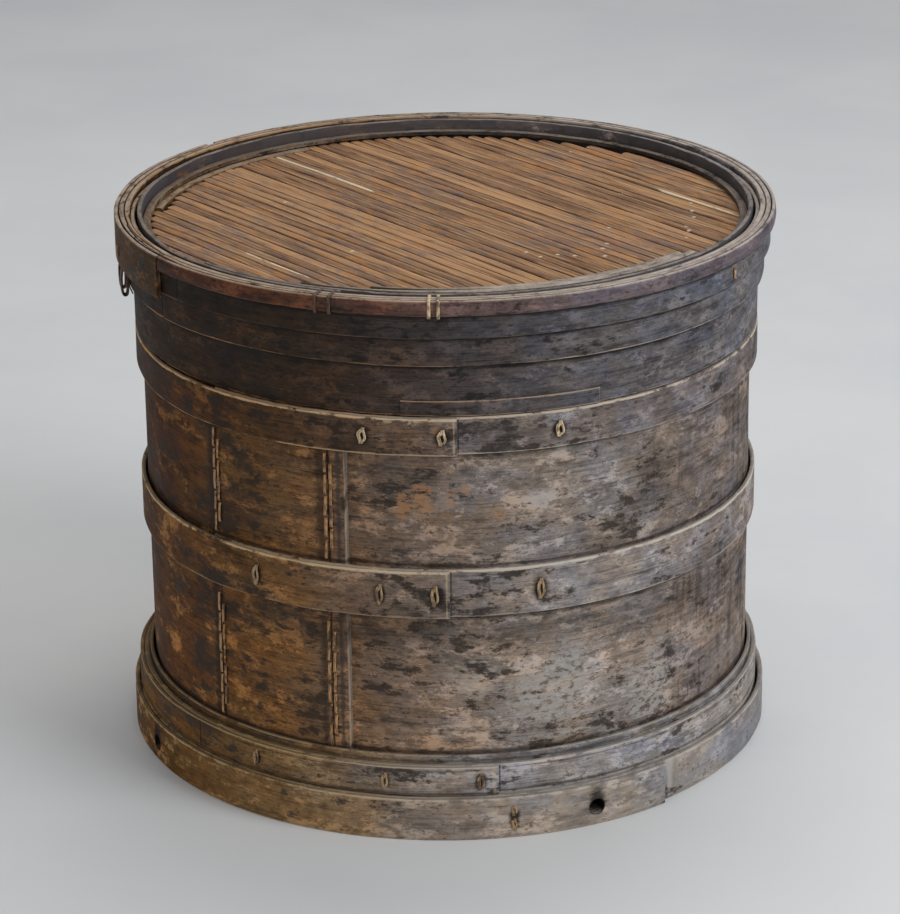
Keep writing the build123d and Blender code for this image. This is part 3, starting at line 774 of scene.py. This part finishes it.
# %% Hoops round the wall
hoop_stain = (38, 29, 24)
upper_finish = weathered(
    "upper_hoop_finish", ((48, 31, 15), (134, 96, 56)), ((78, 73, 74), (164, 154, 150)),
    hoop_stain, seed=12.0, edges=(*heights("upper_hoop"), 2.6), stain_share=0.6, rub=0.95,
    worn=((204, 166, 118), (192, 176, 158)), gloom=(236, 206, 150),
    # Painted shade washes: warm over the left half, grey at the far right.
    washes=(((4, 0), any_height, (226, 215, 200)), ((70, 140), any_height, (216, 214, 218))),
    # A painted shadow just past the free end, and a pale worn edge before it.
    seams=((1.75, 0.22, shade_and_soot, 0.8), (1.0, 0.3, (190, 162, 124), 0.6)),
    chips=((-1.8, 341, 3.6, 1.2, ochre), (-6, 351, 5, 0.5, (186, 164, 134)),
           (-11, 351, 4, 0.5, (186, 164, 134)), (0.5, 344, 3, 1.0, ochre)),
    # Spots of painted shade at the three stitches.
    spots=((-14.5, 338, 7, 1.4), (-1, 338, 8, 1.4), (19.5, 338, 8, 1.3)))
middle_finish = weathered(
    "middle_hoop_finish", ((62, 40, 18), (146, 106, 62)), ((92, 85, 84), (178, 168, 162)),
    hoop_stain, seed=14.0, edges=(*heights("middle_hoop"), 2.8), stain_share=0.54, rub=0.9,
    low_rub=0.4, scrape=0.72, worn=((206, 174, 126), (196, 184, 168)),
    # Painted shade wash at the far right.
    washes=(((140, 215), any_height, (226, 224, 226)),),
    # A painted shadow just past the free end, and a pale worn edge before it.
    seams=((0.25, 0.22, shade_and_soot, 0.8), (-0.5, 0.3, (190, 168, 134), 0.6)),
    # Spots of painted shade at the four stitches.
    spots=((-35.5, 207, 6, 1.7), (-12, 207, 6, 1.7), (-2, 206, 9, 1.5), (16, 206, 9.5, 1.6)))
hoop_inside, hoop_thick = 254.0, 3.7
strip_piece("upper_bent_hoop", "upper_hoop", lapped(hoop_inside, hoop_thick, 1.5),
            upper_finish, seed=21, rows=6, corner=1.3)
strip_piece("middle_bent_hoop", "middle_hoop", lapped(hoop_inside, hoop_thick, 0),
            middle_finish, seed=22, rows=8, corner=1.3)
print("hoops drawn")

# %% [markdown]
# ## Finish of the foot
# The foot stood on damp ground and in daylight, so it is the palest part, with a brown dust on the
# left. Painted shade darkens the cord holes and the places where the stitches pull, and soot marks
# the wood round two of the holes.

# %% Finish of the foot
foot_stain = (50, 40, 34)
foot_dust = ((80, 72, 66), (150, 142, 136))
foot_finish = weathered(
    "foot_strips_finish", ((76, 54, 26), (158, 126, 84)), ((98, 94, 94), (180, 175, 175)),
    foot_stain, seed=16.0, edges=(*heights("foot_strip_front"), 1.6), stain_share=0.54,
    worn=((190, 160, 114), (184, 176, 166)), dust=foot_dust, grime=(184, 158, 122),
    # The belts are painted shade under edges that overhang.
    gloom=(255, 222, 134), belts=((38, 2.5, 0.7), (58, 1.2, 0.6)), holes=rope_holes, face=265.5,
    # A painted shadow just past the end of the front strip, and pale worn lines beside it.
    seams=((8.35, 0.25, shade_and_soot, 0.75), (7.3, 0.8, (196, 180, 150), 0.35),
           (10.2, 1.0, (176, 172, 166), 0.4)),
    # Spots of painted shade at the three stitches.
    spots=((-36, 49, 5, 1.6), (-11.5, 49, 5.5, 1.6), (5, 49, 7, 1.4)))
lining_finish = weathered(
    "foot_lining_finish", ((70, 50, 26), (138, 108, 70)), ((84, 80, 78), (158, 152, 150)),
    foot_stain, seed=17.0, edges=(*heights("foot_backing_hoop"), 1.4), stain_share=0.58,
    worn=((168, 140, 100), (166, 158, 148)), dust=foot_dust, grime=(184, 158, 122),
    # The belt is painted shade under the edge above.
    belts=((63, 1.6, 0.6),), holes=rope_holes)
base_finish = weathered(
    "base_hoop_finish", ((84, 62, 30), (166, 132, 88)), ((104, 98, 94), (176, 166, 158)),
    (56, 45, 37), seed=18.0, edges=(*heights("base_hoop"), 2.2),
    worn=((196, 166, 120), (186, 176, 164)), dust=foot_dust, grime=(190, 162, 124), scrape=0.7,
    bleach=(0.171, 0.174, (150, 149, 152), 0.4), holes=rope_holes, face=269.5,
    # A painted shadow just past the end of the base hoop, and a pale patch beyond it.
    seams=((39.8, 0.22, shade_and_soot, 0.8), (41.4, 1.3, (186, 181, 174), 0.5)),
    # Painted shade wash at the far right.
    washes=(((205, 235), any_height, (234, 236, 242)),),
    # Spots: soot round two cord holes, and painted shade at a stitch.
    spots=((25.3, 21, 10.5, 1.55), (-64.7, 21, 10, 1.55), (10.5, 18, 6, 2.2)))
print("three foot finishes ready")

# %% [markdown]
# ## The foot
# The foot is built up in layers: a thin lining, a hoop of middle height, and a heavy base hoop
# that winds round almost one and a half times. A strip stands on the base hoop and is joined near
# the left. The cord holes are cut with a boolean, the simplest way to bore clean round holes
# through curved layers.


# %% The foot
def bore_rope_holes(piece):
    """Cuts the four cord holes through a piece of the foot."""
    bm = bmesh.new()
    bore, length, middle = rope_hole_radius * mm, 0.08, 0.26
    for angle in rope_holes:
        turn = (Matrix.Rotation(math.radians(angle), 4, "Z")
                @ Matrix.Translation((0, -middle, rope_hole_height * mm)))
        bmesh.ops.create_cone(bm, cap_ends=True, segments=40, radius1=bore, radius2=bore,
                              depth=length, matrix=turn @ Matrix.Rotation(math.pi / 2, 4, "X"))
    drill = add_object("drill", bm)
    cut = piece.modifiers.new("rope_holes", "BOOLEAN")
    cut.object = drill
    cut.solver = "EXACT"
    cut.material_mode = "INDEX"
    result = bpy.data.meshes.new_from_object(
        piece.evaluated_get(bpy.context.evaluated_depsgraph_get()))
    piece.modifiers.clear()
    piece.data = result
    bpy.data.objects.remove(drill)


base_path = [(-110, 262), (50, 262), (78, 264.4), (106, 262), (215, 262), (250, 266.6),
             (399.5, 266.6)]
base = strip_piece("base_wound_hoop", "base_hoop", [(a, r, 4.4) for a, r in base_path],
                   base_finish, seed=31, rows=8, corner=1.5, keep_low=True)
lining = strip_piece("foot_lining_hoop", "foot_backing_hoop", feathered(254.0, 3.0, 140),
                     lining_finish, seed=32, rows=10, corner=0.9)
middle_foot = strip_piece("foot_inner_hoop", "foot_hoop", feathered(257.3, 4.4, 165),
                          foot_finish, seed=33, rows=10)
for piece in (base, lining, middle_foot, wall):
    bore_rope_holes(piece)
strip_piece("foot_front_strip", "foot_strip_front", [(-50.3, 262, 3.8), (8, 262, 3.8)],
            foot_finish, seed=34, rows=6, corner=1.4)
strip_piece("foot_left_strip", "foot_strip_left",
            [(-118, 262, 0.8), (-94, 262, 3.8), (-50.5, 262, 3.8)], foot_finish, seed=35,
            rows=6, corner=1.4)
print("cord holes bored through four layers")

# %% [markdown]
# ## Finish of the slats
# The floor is thin split bamboo. Its fibres run along each slat, so the noise is turned with the
# slats before it is stretched. Every slat carries a random number on its points, so that
# neighbours differ in tone, and a second one tells how near its side a point is.


# %% Finish of the slats
class SlatGrain(Recipe):
    """A recipe that starts with the noises of the split slats."""

    def __init__(self, name):
        super().__init__(name)
        self.turned = self.add("Mapping", {"Vector": self.place,
                                           "Rotation": (0, 0, -slat_turn)}).outputs[0]
        self.tone = self.add("Attribute", attribute_name="slat_tone").outputs["Fac"]
        self.side = self.add("Attribute", attribute_name="slat_side").outputs["Fac"]
        self.own = self.join(self.times(self.tone, 40), self.times(self.tone, 70), self.tone)
        self.lines = self.grain(16, 760, 4, 0.65)
        self.streak = self.grain(11, 250, 7, 0.72)
        self.patch = self.grain(30, 120, 8, 0.75)
        self.cloud = self.noise(self.stretch(9, 9, 9, 5), 8, 0.7)

    def grain(self, along, across, detail, rough):
        """Noise with so many waves to the metre along a slat and across it."""
        scaled = self.vector("MULTIPLY", self.turned, (along, across, 60))
        return self.noise(self.vector("ADD", scaled, self.own), detail, rough)


slat_turn = math.radians(-52)
print("the slats lie at", round(math.degrees(slat_turn)), "degrees")

# %% [markdown]
# ## Colours of the slats
# Heat and steam have left rust, plum and grey-brown veils on the floor. The slats are paler near
# their sides, partly rubbed and partly a painted highlight on the shoulders. Soot fills the
# cracks, and painted shade darkens the gaps between slats. A few have long pale scars, and small
# pale flecks are scattered over others.


# %% Colours of the slats
def slat_wood(s, dark, light, soot_and_gap_shade):
    """Lays the coats that cover the whole floor."""
    mixed = s.blend((s.lines, 0.3), (s.streak, 0.55), (s.tone, 0.15))
    s.colour = s.mix(s.between(mixed, 0.36, 0.66), paint(*dark), paint(*light))
    rust, plum, veil, worn_and_highlight_pale = (172, 112, 50), (104, 76, 68), (122, 102, 88), (200, 156, 108)
    s.lay(s.between(s.blend((s.patch, 1.0), (s.cloud, 0.7)), 0.86, 0.98), rust, 0.6)
    s.lay(s.between(s.blend((s.cloud, 1.0), (s.patch, -0.5)), 0.28, 0.38), plum, 0.65)
    s.lay(s.times(s.between(s.cloud, 0.42, 0.58), s.between(s.patch, 0.62, 0.45)), veil, 0.4)
    # Pale shoulders, partly rubbed and partly a painted highlight.
    s.lay(s.times(s.between(s.side, 0.4, 0.7), s.between(s.streak, 0.45, 0.56)), worn_and_highlight_pale, 0.55)
    s.lay(s.between(s.blend((s.streak, 0.5), (s.patch, 0.5)), 0.44, 0.37), soot_and_gap_shade, 0.7)
    s.lay(s.between(s.lines, 0.38, 0.31), soot_and_gap_shade, 0.6)
    # Painted shade in the gaps between slats.
    s.lay(s.between(s.side, 0.82, 0.97), soot_and_gap_shade, 0.7)


def slat_marks(s, scars, flecks):
    """Scars are (across, from, to) along the slats, and flecks are (x, y)."""
    along, across = s.split(s.turned)[:2]
    fade, fleck_height = 8, 435.5
    for middle, start, end in scars:
        off = s.math("ABSOLUTE", s.math("SUBTRACT", across, middle * mm))
        off = s.blend((off, 1.0), (s.streak, 0.004))
        inside = s.times(s.between(along, (start - fade) * mm, start * mm),
                         s.between(along, (end + fade) * mm, end * mm),
                         s.between(off, 0.0036, 0.0026), s.between(s.patch, 0.36, 0.44))
        s.lay(inside, (214, 200, 170), 0.85)
    near = 1.0
    for x, y in flecks:
        away = s.vector("DISTANCE", s.place, Vector((x, y, fleck_height)) * mm)
        near = s.math("MINIMUM", away, near)
    near = s.blend((near, 1.0), (s.patch, 0.003))
    s.lay(s.between(near, 0.0038, 0.0028), (196, 178, 158), 0.85)


slats = SlatGrain("split_slat_finish")
slat_wood(slats, (96, 63, 38), (178, 134, 92), (46, 30, 20))
slat_marks(slats, ((183.5, 60, 145), (-184.5, -17, 58), (-3, -242, -99)),
           ((204, 28), (203, 5), (203, -12), (196, -39), (197, -50), (194, -69), (133, -40),
            (129, -83), (125, -96), (126, -115), (64, -102), (75, -115), (89, -111),
            (102, -114), (147, 57), (-74, -96), (-133, 42), (109, 187)))
slats.shader.inputs["Specular IOR Level"].default_value = 0.3
slat_finish = slats.finish(slats.math("SUBTRACT", 0.7, slats.times(slats.streak, 0.18)),
                           slats.math("ADD", slats.lines, slats.streak), 0.6, 0.0005)
print("slat finish ready")

# %% [markdown]
# ## The slats
# Forty-nine slats lie side by side on a slant. Each is flat below and rounded above, with a few
# low rings where the cane had its joints. One ribbed plate would be simpler, but the dark gaps and
# the uneven tops make a slatted floor look real. Those at the back left stop short, as if worn
# away.

# %% The slats
floor_radius = 244.5
slat_reach = floor_radius - 0.3
slat_count, slat_pitch, slat_steps, slat_groups = 49, 9.8, 46, 10
slat_low, slat_high = heights("floor_slats_01")
slat_shape = [(-1, 0), (-1, 0.5), (-0.95, 0.72), (-0.84, 0.88), (-0.6, 0.96), (0, 1),
              (0.6, 0.97), (0.84, 0.89), (0.95, 0.74), (1, 0.52), (1, 0)]
dice = random.Random(7)


def left_reach(across, index):
    """How far a slat goes to the left, which is less where the floor is worn away."""
    reach = slat_reach
    if 68.5 - floor_radius < across < 34:
        reach = floor_radius - 9.5 - 2.2 * (0.5 + 0.5 * math.sin(2.4 * index))
    edge = abs(across) + 4.675
    return math.sqrt(reach ** 2 - min(edge * edge, reach ** 2 - 1))


def draw_slat(bm, tone_layer, side_layer, index):
    """Adds one slat to bm, and writes its tone and sides on its points."""
    across = (index - (slat_count - 1) / 2) * slat_pitch
    half = 4.62 + dice.uniform(-0.12, 0.05)
    top = 5.4 + dice.uniform(-0.5, 0.08)
    tone = dice.random()
    seed = index * 1.7
    knots = [dice.uniform(-0.9, 0.9) for k in range(3)]
    left = left_reach(across, index)
    loops = []
    for i in range(slat_steps + 1):
        loop = []
        for side, up in slat_shape:
            y = across + side * half
            x = -left + (math.sqrt(slat_reach ** 2 - y * y) + left) * i / slat_steps
            rise = 0.45 * (noise.noise(Vector((x * 0.015, seed, 4))) - 0.3)
            knot = sum(0.3 * math.exp(-((x / floor_radius - k) * 60) ** 2) for k in knots)
            z = slat_low + max(0.0, up * (top + min(rise, 0.1) + min(knot, 0.1)))
            y += 0.16 * noise.noise(Vector((x * 0.02, seed, 0)))
            vert = bm.verts.new((
                (x * math.cos(slat_turn) - y * math.sin(slat_turn)) * mm,
                (x * math.sin(slat_turn) + y * math.cos(slat_turn)) * mm,
                min(z, slat_high) * mm))
            vert[tone_layer] = tone
            vert[side_layer] = abs(side)
            loop.append(vert)
        loops.append(loop)
    skin(bm, loops)


for group in range(slat_groups):
    bm = bmesh.new()
    tone_layer = bm.verts.layers.float.new("slat_tone")
    side_layer = bm.verts.layers.float.new("slat_side")
    for index in range(slat_count):
        if index * slat_groups // slat_count == group:
            draw_slat(bm, tone_layer, side_layer, index)
    finish_mesh("split_slats_%02d" % (group + 1), bm, slat_finish,
                "floor_slats_%02d" % (group + 1), 50)
print(slat_count, "slats drawn in ten groups")

# %% [markdown]
# ## The edge of the floor
# A thin strip lies on the slat ends all round and holds the floor down, darkened on the right with
# painted shade, and two more are packed inside the rim at the front. At the back left a filler
# shows where the slats stop short.
# The holding strip follows the inside of the wall, so it uses the same angles.

# %% Edge of the floor
inner_soot = weathered(
    "inner_strip_finish", ((38, 30, 24), (108, 90, 70)), ((54, 48, 46), (120, 108, 100)),
    (20, 16, 15), seed=20.0, edges=(436, 450, 1.2), rub=0.5, sheen=0.56,
    worn=((132, 108, 80), (134, 122, 110)), dust=((104, 92, 82), (176, 162, 148)))
# The dark cool colours on the right are painted shade.
seat_finish = weathered(
    "floor_seat_finish", ((92, 74, 60), (150, 130, 110)), ((38, 33, 30), (78, 70, 64)),
    (26, 20, 18), seed=21.0, turn=(-0.14, 0.0), dust=((74, 64, 56), (128, 114, 102)))
ledge_finish = weathered(
    "floor_edge_finish", ((96, 76, 60), (156, 134, 112)), ((98, 86, 78), (150, 136, 124)),
    (48, 38, 32), seed=22.0, stain_share=0.4, dust=((104, 86, 72), (164, 146, 128)))
seat_inside = 241.1
seat_outside = [(-49, 244.5), (-18.5, 244.5), (7.5, 247.5), (285, 247.5), (310.86, 247.5)]
strip_piece("floor_holding_strip", "floor_ledge_hoop",
            [(a, seat_inside, r - seat_inside) for a, r in seat_outside], seat_finish,
            "sooted_bamboo", corner=0.8, rows=2, seed=41, keep_low=True)
strip_piece("rim_packing_back", "rim_packing_outer",
            [(-27, 243.7, 0.8), (7.5, seat_inside, 6.4), (52, seat_inside, 6.4)], inner_soot,
            "sooted_bamboo", corner=1.0, rows=3, seed=42, keep_high=True)
strip_piece("rim_packing_front", "rim_packing_inner",
            [(-14, 237.0, 0.8), (7.5, 234.9, 5.9), (13, 234.4, 6.4), (50, 234.4, 6.4)],
            inner_soot, "sooted_bamboo", corner=1.0, rows=3, seed=43, keep_high=True)
strip_piece("edge_filler_strip", "floor_edge_filler", [(-150, 236.2, 8.0), (-97, 236.2, 8.0)],
            ledge_finish, "split_bamboo", corner=1.2, rows=2, seed=44, keep_high=True)
print("edge strips drawn")

# %% [markdown]
# ## Finish of the cane
# The stitches are split cane, smoother than the wood they hold. Some kept its orange colour, some
# faded and some turned drab, and all have dirt on them. Noise along the length is enough, because
# each stitch is small.


# %% Finish of the cane
def cane_finish(name, dark, light):
    """Finish of split cane between a dark and a light colour."""
    r = Recipe(name)
    fine = r.noise(r.stretch(900, 900, 160), 4, 0.6)
    patch = r.noise(r.stretch(120, 120, 90, 9), 4, 0.65)
    r.colour = r.mix(r.between(fine, 0.35, 0.65), paint(*dark), paint(*light))
    r.lay(r.between(patch, 0.5, 0.6), (62, 42, 28), 0.75)
    return r.finish(r.math("ADD", 0.45, r.times(fine, 0.2)), fine, 0.4, 0.0003)


cane = cane_finish("cane_stitch_finish", (118, 80, 46), (196, 150, 102))
pale_cane = cane_finish("pale_cane_finish", (146, 116, 84), (222, 198, 160))
drab_cane = cane_finish("drab_cane_finish", (104, 80, 54), (182, 152, 112))
dark_cane = cane_finish("dark_cane_finish", (40, 28, 20), (96, 66, 44))
print("cane finishes ready")

# %% [markdown]
# ## Drawing flat cane
# Cane is a soft-edged ribbon along a path that a spline rounds. The path is a few points of
# radius, sideways shift and height at one angle of the wall. A curve with a bevel would also do,
# but a ribbon keeps its flat side towards the wall.


# %% Drawing flat cane
def smooth_path(points, steps=6):
    """Rounds a path of (radius, shift, height) points."""
    path = []
    padded = [points[0]] + list(points) + [points[-1]]
    for p0, p1, p2, p3 in zip(padded, padded[1:], padded[2:], padded[3:]):
        for i in range(steps):
            t = i / steps
            path.append(tuple(0.5 * (2 * b + (c - a) * t + (2 * a - 5 * b + 4 * c - d) * t * t
                                     + (3 * b - a - 3 * c + d) * t ** 3)
                              for a, b, c, d in zip(p0, p1, p2, p3)))
    path.append(points[-1])
    return [Vector(p) for p in path]


def draw_ribbon(bm, angle, points, width, thick):
    """Sweeps flat cane along points of (radius, sideways shift, height) at an angle."""
    path = smooth_path(points)
    out, side, up = outward(angle), outward(angle + 90), Vector((0, 0, 1))
    shape = [(-0.5, -0.2), (-0.38, 0.36), (0, 0.5), (0.38, 0.36), (0.5, -0.2), (0.3, -0.5),
             (-0.3, -0.5)]
    loops = []
    for i, p in enumerate(path):
        ahead = path[min(i + 1, len(path) - 1)] - path[max(i - 1, 0)]
        run = (out * ahead.x + side * ahead.y + up * ahead.z).normalized()
        normal = side.cross(run).normalized() * -1
        flat = run.cross(normal).normalized()
        if flat.dot(side) < 0:
            flat = -flat
        centre = (out * p.x + side * p.y + up * p.z) * mm
        loops.append([bm.verts.new(centre + flat * (a * width * mm) + normal * (b * thick * mm))
                      for a, b in shape])
    skin(bm, loops)


def cane_piece(name, bm, finish, node):
    finish_mesh(name, bm, finish, node, 60)


print("a straight path of 2 points becomes", len(smooth_path([(0, 0, 0), (0, 0, 1)])))

# %% [markdown]
# ## A stitch
# A stitch comes out of the wall, lies over the strip and goes back in. The strong ones on the
# hoops have two strands, which start together and bow apart in the middle, as a doubled strand
# does when it is pulled tight.


# %% A stitch
def draw_stitch(bm, angle, inner, outer, low, high, shift=0.0, lean=0.0, width=3.0, puff=0.5,
                strands=1, part=1.5):
    """One stitch: bars outside, a bar inside and the ends that pass through."""
    thick, tuck = 1.05, 0.55
    start, end = low + tuck, high - tuck
    for strand in range(strands):
        face = outer + 0.55 + 0.25 * strand
        apart = strand - (strands - 1) / 2
        aside = shift + 0.35 * apart * part
        belly = start + (end - start) * (0.5 - 0.3 * apart)
        outside = [(inner + 1, aside - lean, start), (face - 1.2, aside - lean, start),
                   (face, aside - lean * 0.8, start + 1.0),
                   (face + puff * 0.4, shift + 2.2 * apart * part, belly),
                   (face, aside + lean * 0.8, end - 1.0), (face - 1.2, aside + lean, end),
                   (inner + 1, aside + lean, end)]
        draw_ribbon(bm, angle, outside, width - 0.9 * apart, thick)
    inside = [(inner + 1, shift, start), (inner - 0.5, shift, start + 0.6),
              (inner - 0.6, shift, (start + end) / 2), (inner - 0.5, shift, end - 0.6),
              (inner + 1, shift, end)]
    draw_ribbon(bm, angle, inside, width, 1.0)


def stitched(name, node, finish, stitches, **shape):
    """One piece made of stitches, each given as (angle, inner, outer, low, high)."""
    bm = bmesh.new()
    for stitch in stitches:
        draw_stitch(bm, *stitch, **shape)
    cane_piece(name, bm, finish, node)


print("draw_stitch() lays one strand or two")

# %% [markdown]
# ## Stitches
# Two seam rows hold the lap of the wall with many small stitches, which differ a little so that
# they look sewn. The hoops, the foot and the rim have a few strong ones. Where a hoop laps over
# itself a stitch goes round two layers, so its outer radius is larger.

# %% Stitches
seam_rows = [(68, 187), (227, 322.2)]
stitch_tall, stitch_pitch, column_gap = 16.5, 18, 4.6
for side_name, angle, seed in (("left", -46.0, 3), ("right", -21.5, 5)):
    bm = bmesh.new()
    shake = random.Random(seed)
    for low, high in seam_rows:
        for column in (-0.5, 0.5):
            lead = (column + 0.5) * stitch_pitch / 2
            for i in range(int((high - low - 4 - lead) // stitch_pitch)):
                foot = low + 2 + lead + i * stitch_pitch
                draw_stitch(bm, angle, 244.6, 254.0, foot, foot + stitch_tall,
                            column * column_gap, shake.uniform(0.1, 0.6),
                            2.5 + shake.uniform(-0.4, 0.3), puff=shake.uniform(0.1, 0.6))
    cane_piece("seam_cane_" + side_name, bm, cane, "seam_stitches_" + side_name)
over_one, over_two = 257.9, 261.8
stitched("upper_hoop_cane", "upper_hoop_stitches", pale_cane,
         [(angle, 245.5, over, 331.2, 344.2)
          for angle, over in ((-14.5, over_two), (-1.0, over_two), (19.5, over_one))],
         lean=0.9, width=2.4, puff=1.8, strands=2, part=2.3)
stitched("middle_hoop_cane", "middle_hoop_stitches", drab_cane,
         [(angle, 245.0, over, 198.5, 215.5) for angle, over in
          ((-35.5, over_two), (-12.0, over_two), (-2.5, over_two), (16.0, over_one))],
         lean=0.8, width=2.4, puff=1.8, strands=2, part=2.0)
stitched("foot_strip_cane", "foot_strip_stitches", drab_cane,
         [(angle, 245.2, 266.0, 41.95, 55.95) for angle in (-36.0, -11.5, 5.0)],
         lean=0.9, width=2.4, puff=1.5, strands=2, part=1.7)
stitched("base_hoop_cane", "base_hoop_stitches", drab_cane,
         [(angle, 246.5, over, low, low + 10)
          for angle, over in ((10.5, 269.6), (-100.0, 269.4)) for low in (7.0, 19.0)],
         lean=0.5, width=2.1, puff=1.2, strands=2)
stitched("rim_cane", "rim_stitches", cane,
         [(58.0, 246.6, 267.0, 423.5, 432.5), (-76.6, 246.6, 271.0, 423.5, 432.5)])
print("seam rows and hoop stitches drawn")

# %% [markdown]
# ## Lashings and loops
# Two lashings hook over the rim, one pale at the front and one dark to its left. Two slack loops
# hang below the rim at the left, where one strip of cane has also sprung loose.

# %% Lashings and loops
over_rim = [(255.9, 0, 446.4), (255.9, 0, 449.8), (257.2, 0, 450.6), (263, 0, 450.64),
            (270.3, 0, 450.6), (271.5, 0, 449.4), (271.6, 0, 444), (271.5, 0, 437.6),
            (270.4, 0, 436.75), (263.2, 0, 436.75)]
for node, finish, angles in (("front", pale_cane, (-2.8, -1.3)),
                             ("left", dark_cane, (-21.5, -19.1))):
    bm = bmesh.new()
    for angle in angles:
        draw_ribbon(bm, angle, over_rim, 2.6, 1.0)
    cane_piece("rim_lashing_cane_" + node, bm, finish, "rim_lashing_" + node)
bm = bmesh.new()
for angle, drop in ((-84.5, 0.0), (-79.0, 1.5)):
    slack = [(263.4, 0, 418), (263.4, 0, 402), (263.7, 0, 388 + drop), (265.6, 0, 385.4 + drop),
             (267.6, 0, 388 + drop), (268.2, 0, 400), (267.2, 0, 409), (265.9, 0, 418)]
    draw_ribbon(bm, angle, slack, 7.2, 2.2)
cane_piece("slack_cane_loops", bm, dark_cane, "cane_loops")
bm = bmesh.new()
sprung = [(258.2, 0, 375.6), (260.2, 0, 380), (261.1, 0, 384.8), (260.2, 0, 389.5),
          (258.2, 0, 393.8)]
draw_ribbon(bm, -87.0, sprung, 3.4, 1.0)
cane_piece("sprung_cane_strip", bm, cane, "loose_strip")
print("lashings and loops drawn")

# %% [markdown]
# ## Pieces left as they were built
# The cross battens, the pins, the pegs and the hoop under the floor are plain pieces whose built
# shape is already right. They keep their meshes and only get a finish.

# %% Finish the hidden pieces
batten_finish = weathered(
    "under_floor_finish", ((58, 42, 28), (118, 88, 58)), ((62, 48, 36), (124, 98, 70)),
    (26, 20, 16), seed=24.0, stain_share=0.4)
pin_finish = cane_finish("split_pin_finish", (92, 66, 42), (150, 116, 78))
for finish, nodes in ((batten_finish, ("cross_batten_left", "cross_batten_middle",
                                       "cross_batten_right", "floor_support_hoop")),
                      (pin_finish, ("floor_pins", "floor_pegs"))):
    for node in nodes:
        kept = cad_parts[node]
        kept.data.materials.clear()
        kept.data.materials.append(finish)
print("hidden pieces finished")

# %% [markdown]
# ## The ground
# A plain pale floor lets the piece speak. It is larger than the view, so that no edge shows, and
# has a faint mottle, because a perfectly even floor looks unreal beside worn wood.

# %% The ground
bm = bmesh.new()
bmesh.ops.create_grid(bm, x_segments=2, y_segments=2, size=8)
ground = add_object("ground", bm)
r = Recipe("pale_ground")
mottle = r.noise(r.stretch(1.6, 1.6, 1), 6, 0.6)
r.colour = r.mix(r.between(mottle, 0.35, 0.65), paint(206, 207, 208), paint(214, 214, 213))
ground.data.materials.append(r.finish(0.75, mottle, 0.1, 0.001))
print("ground laid")
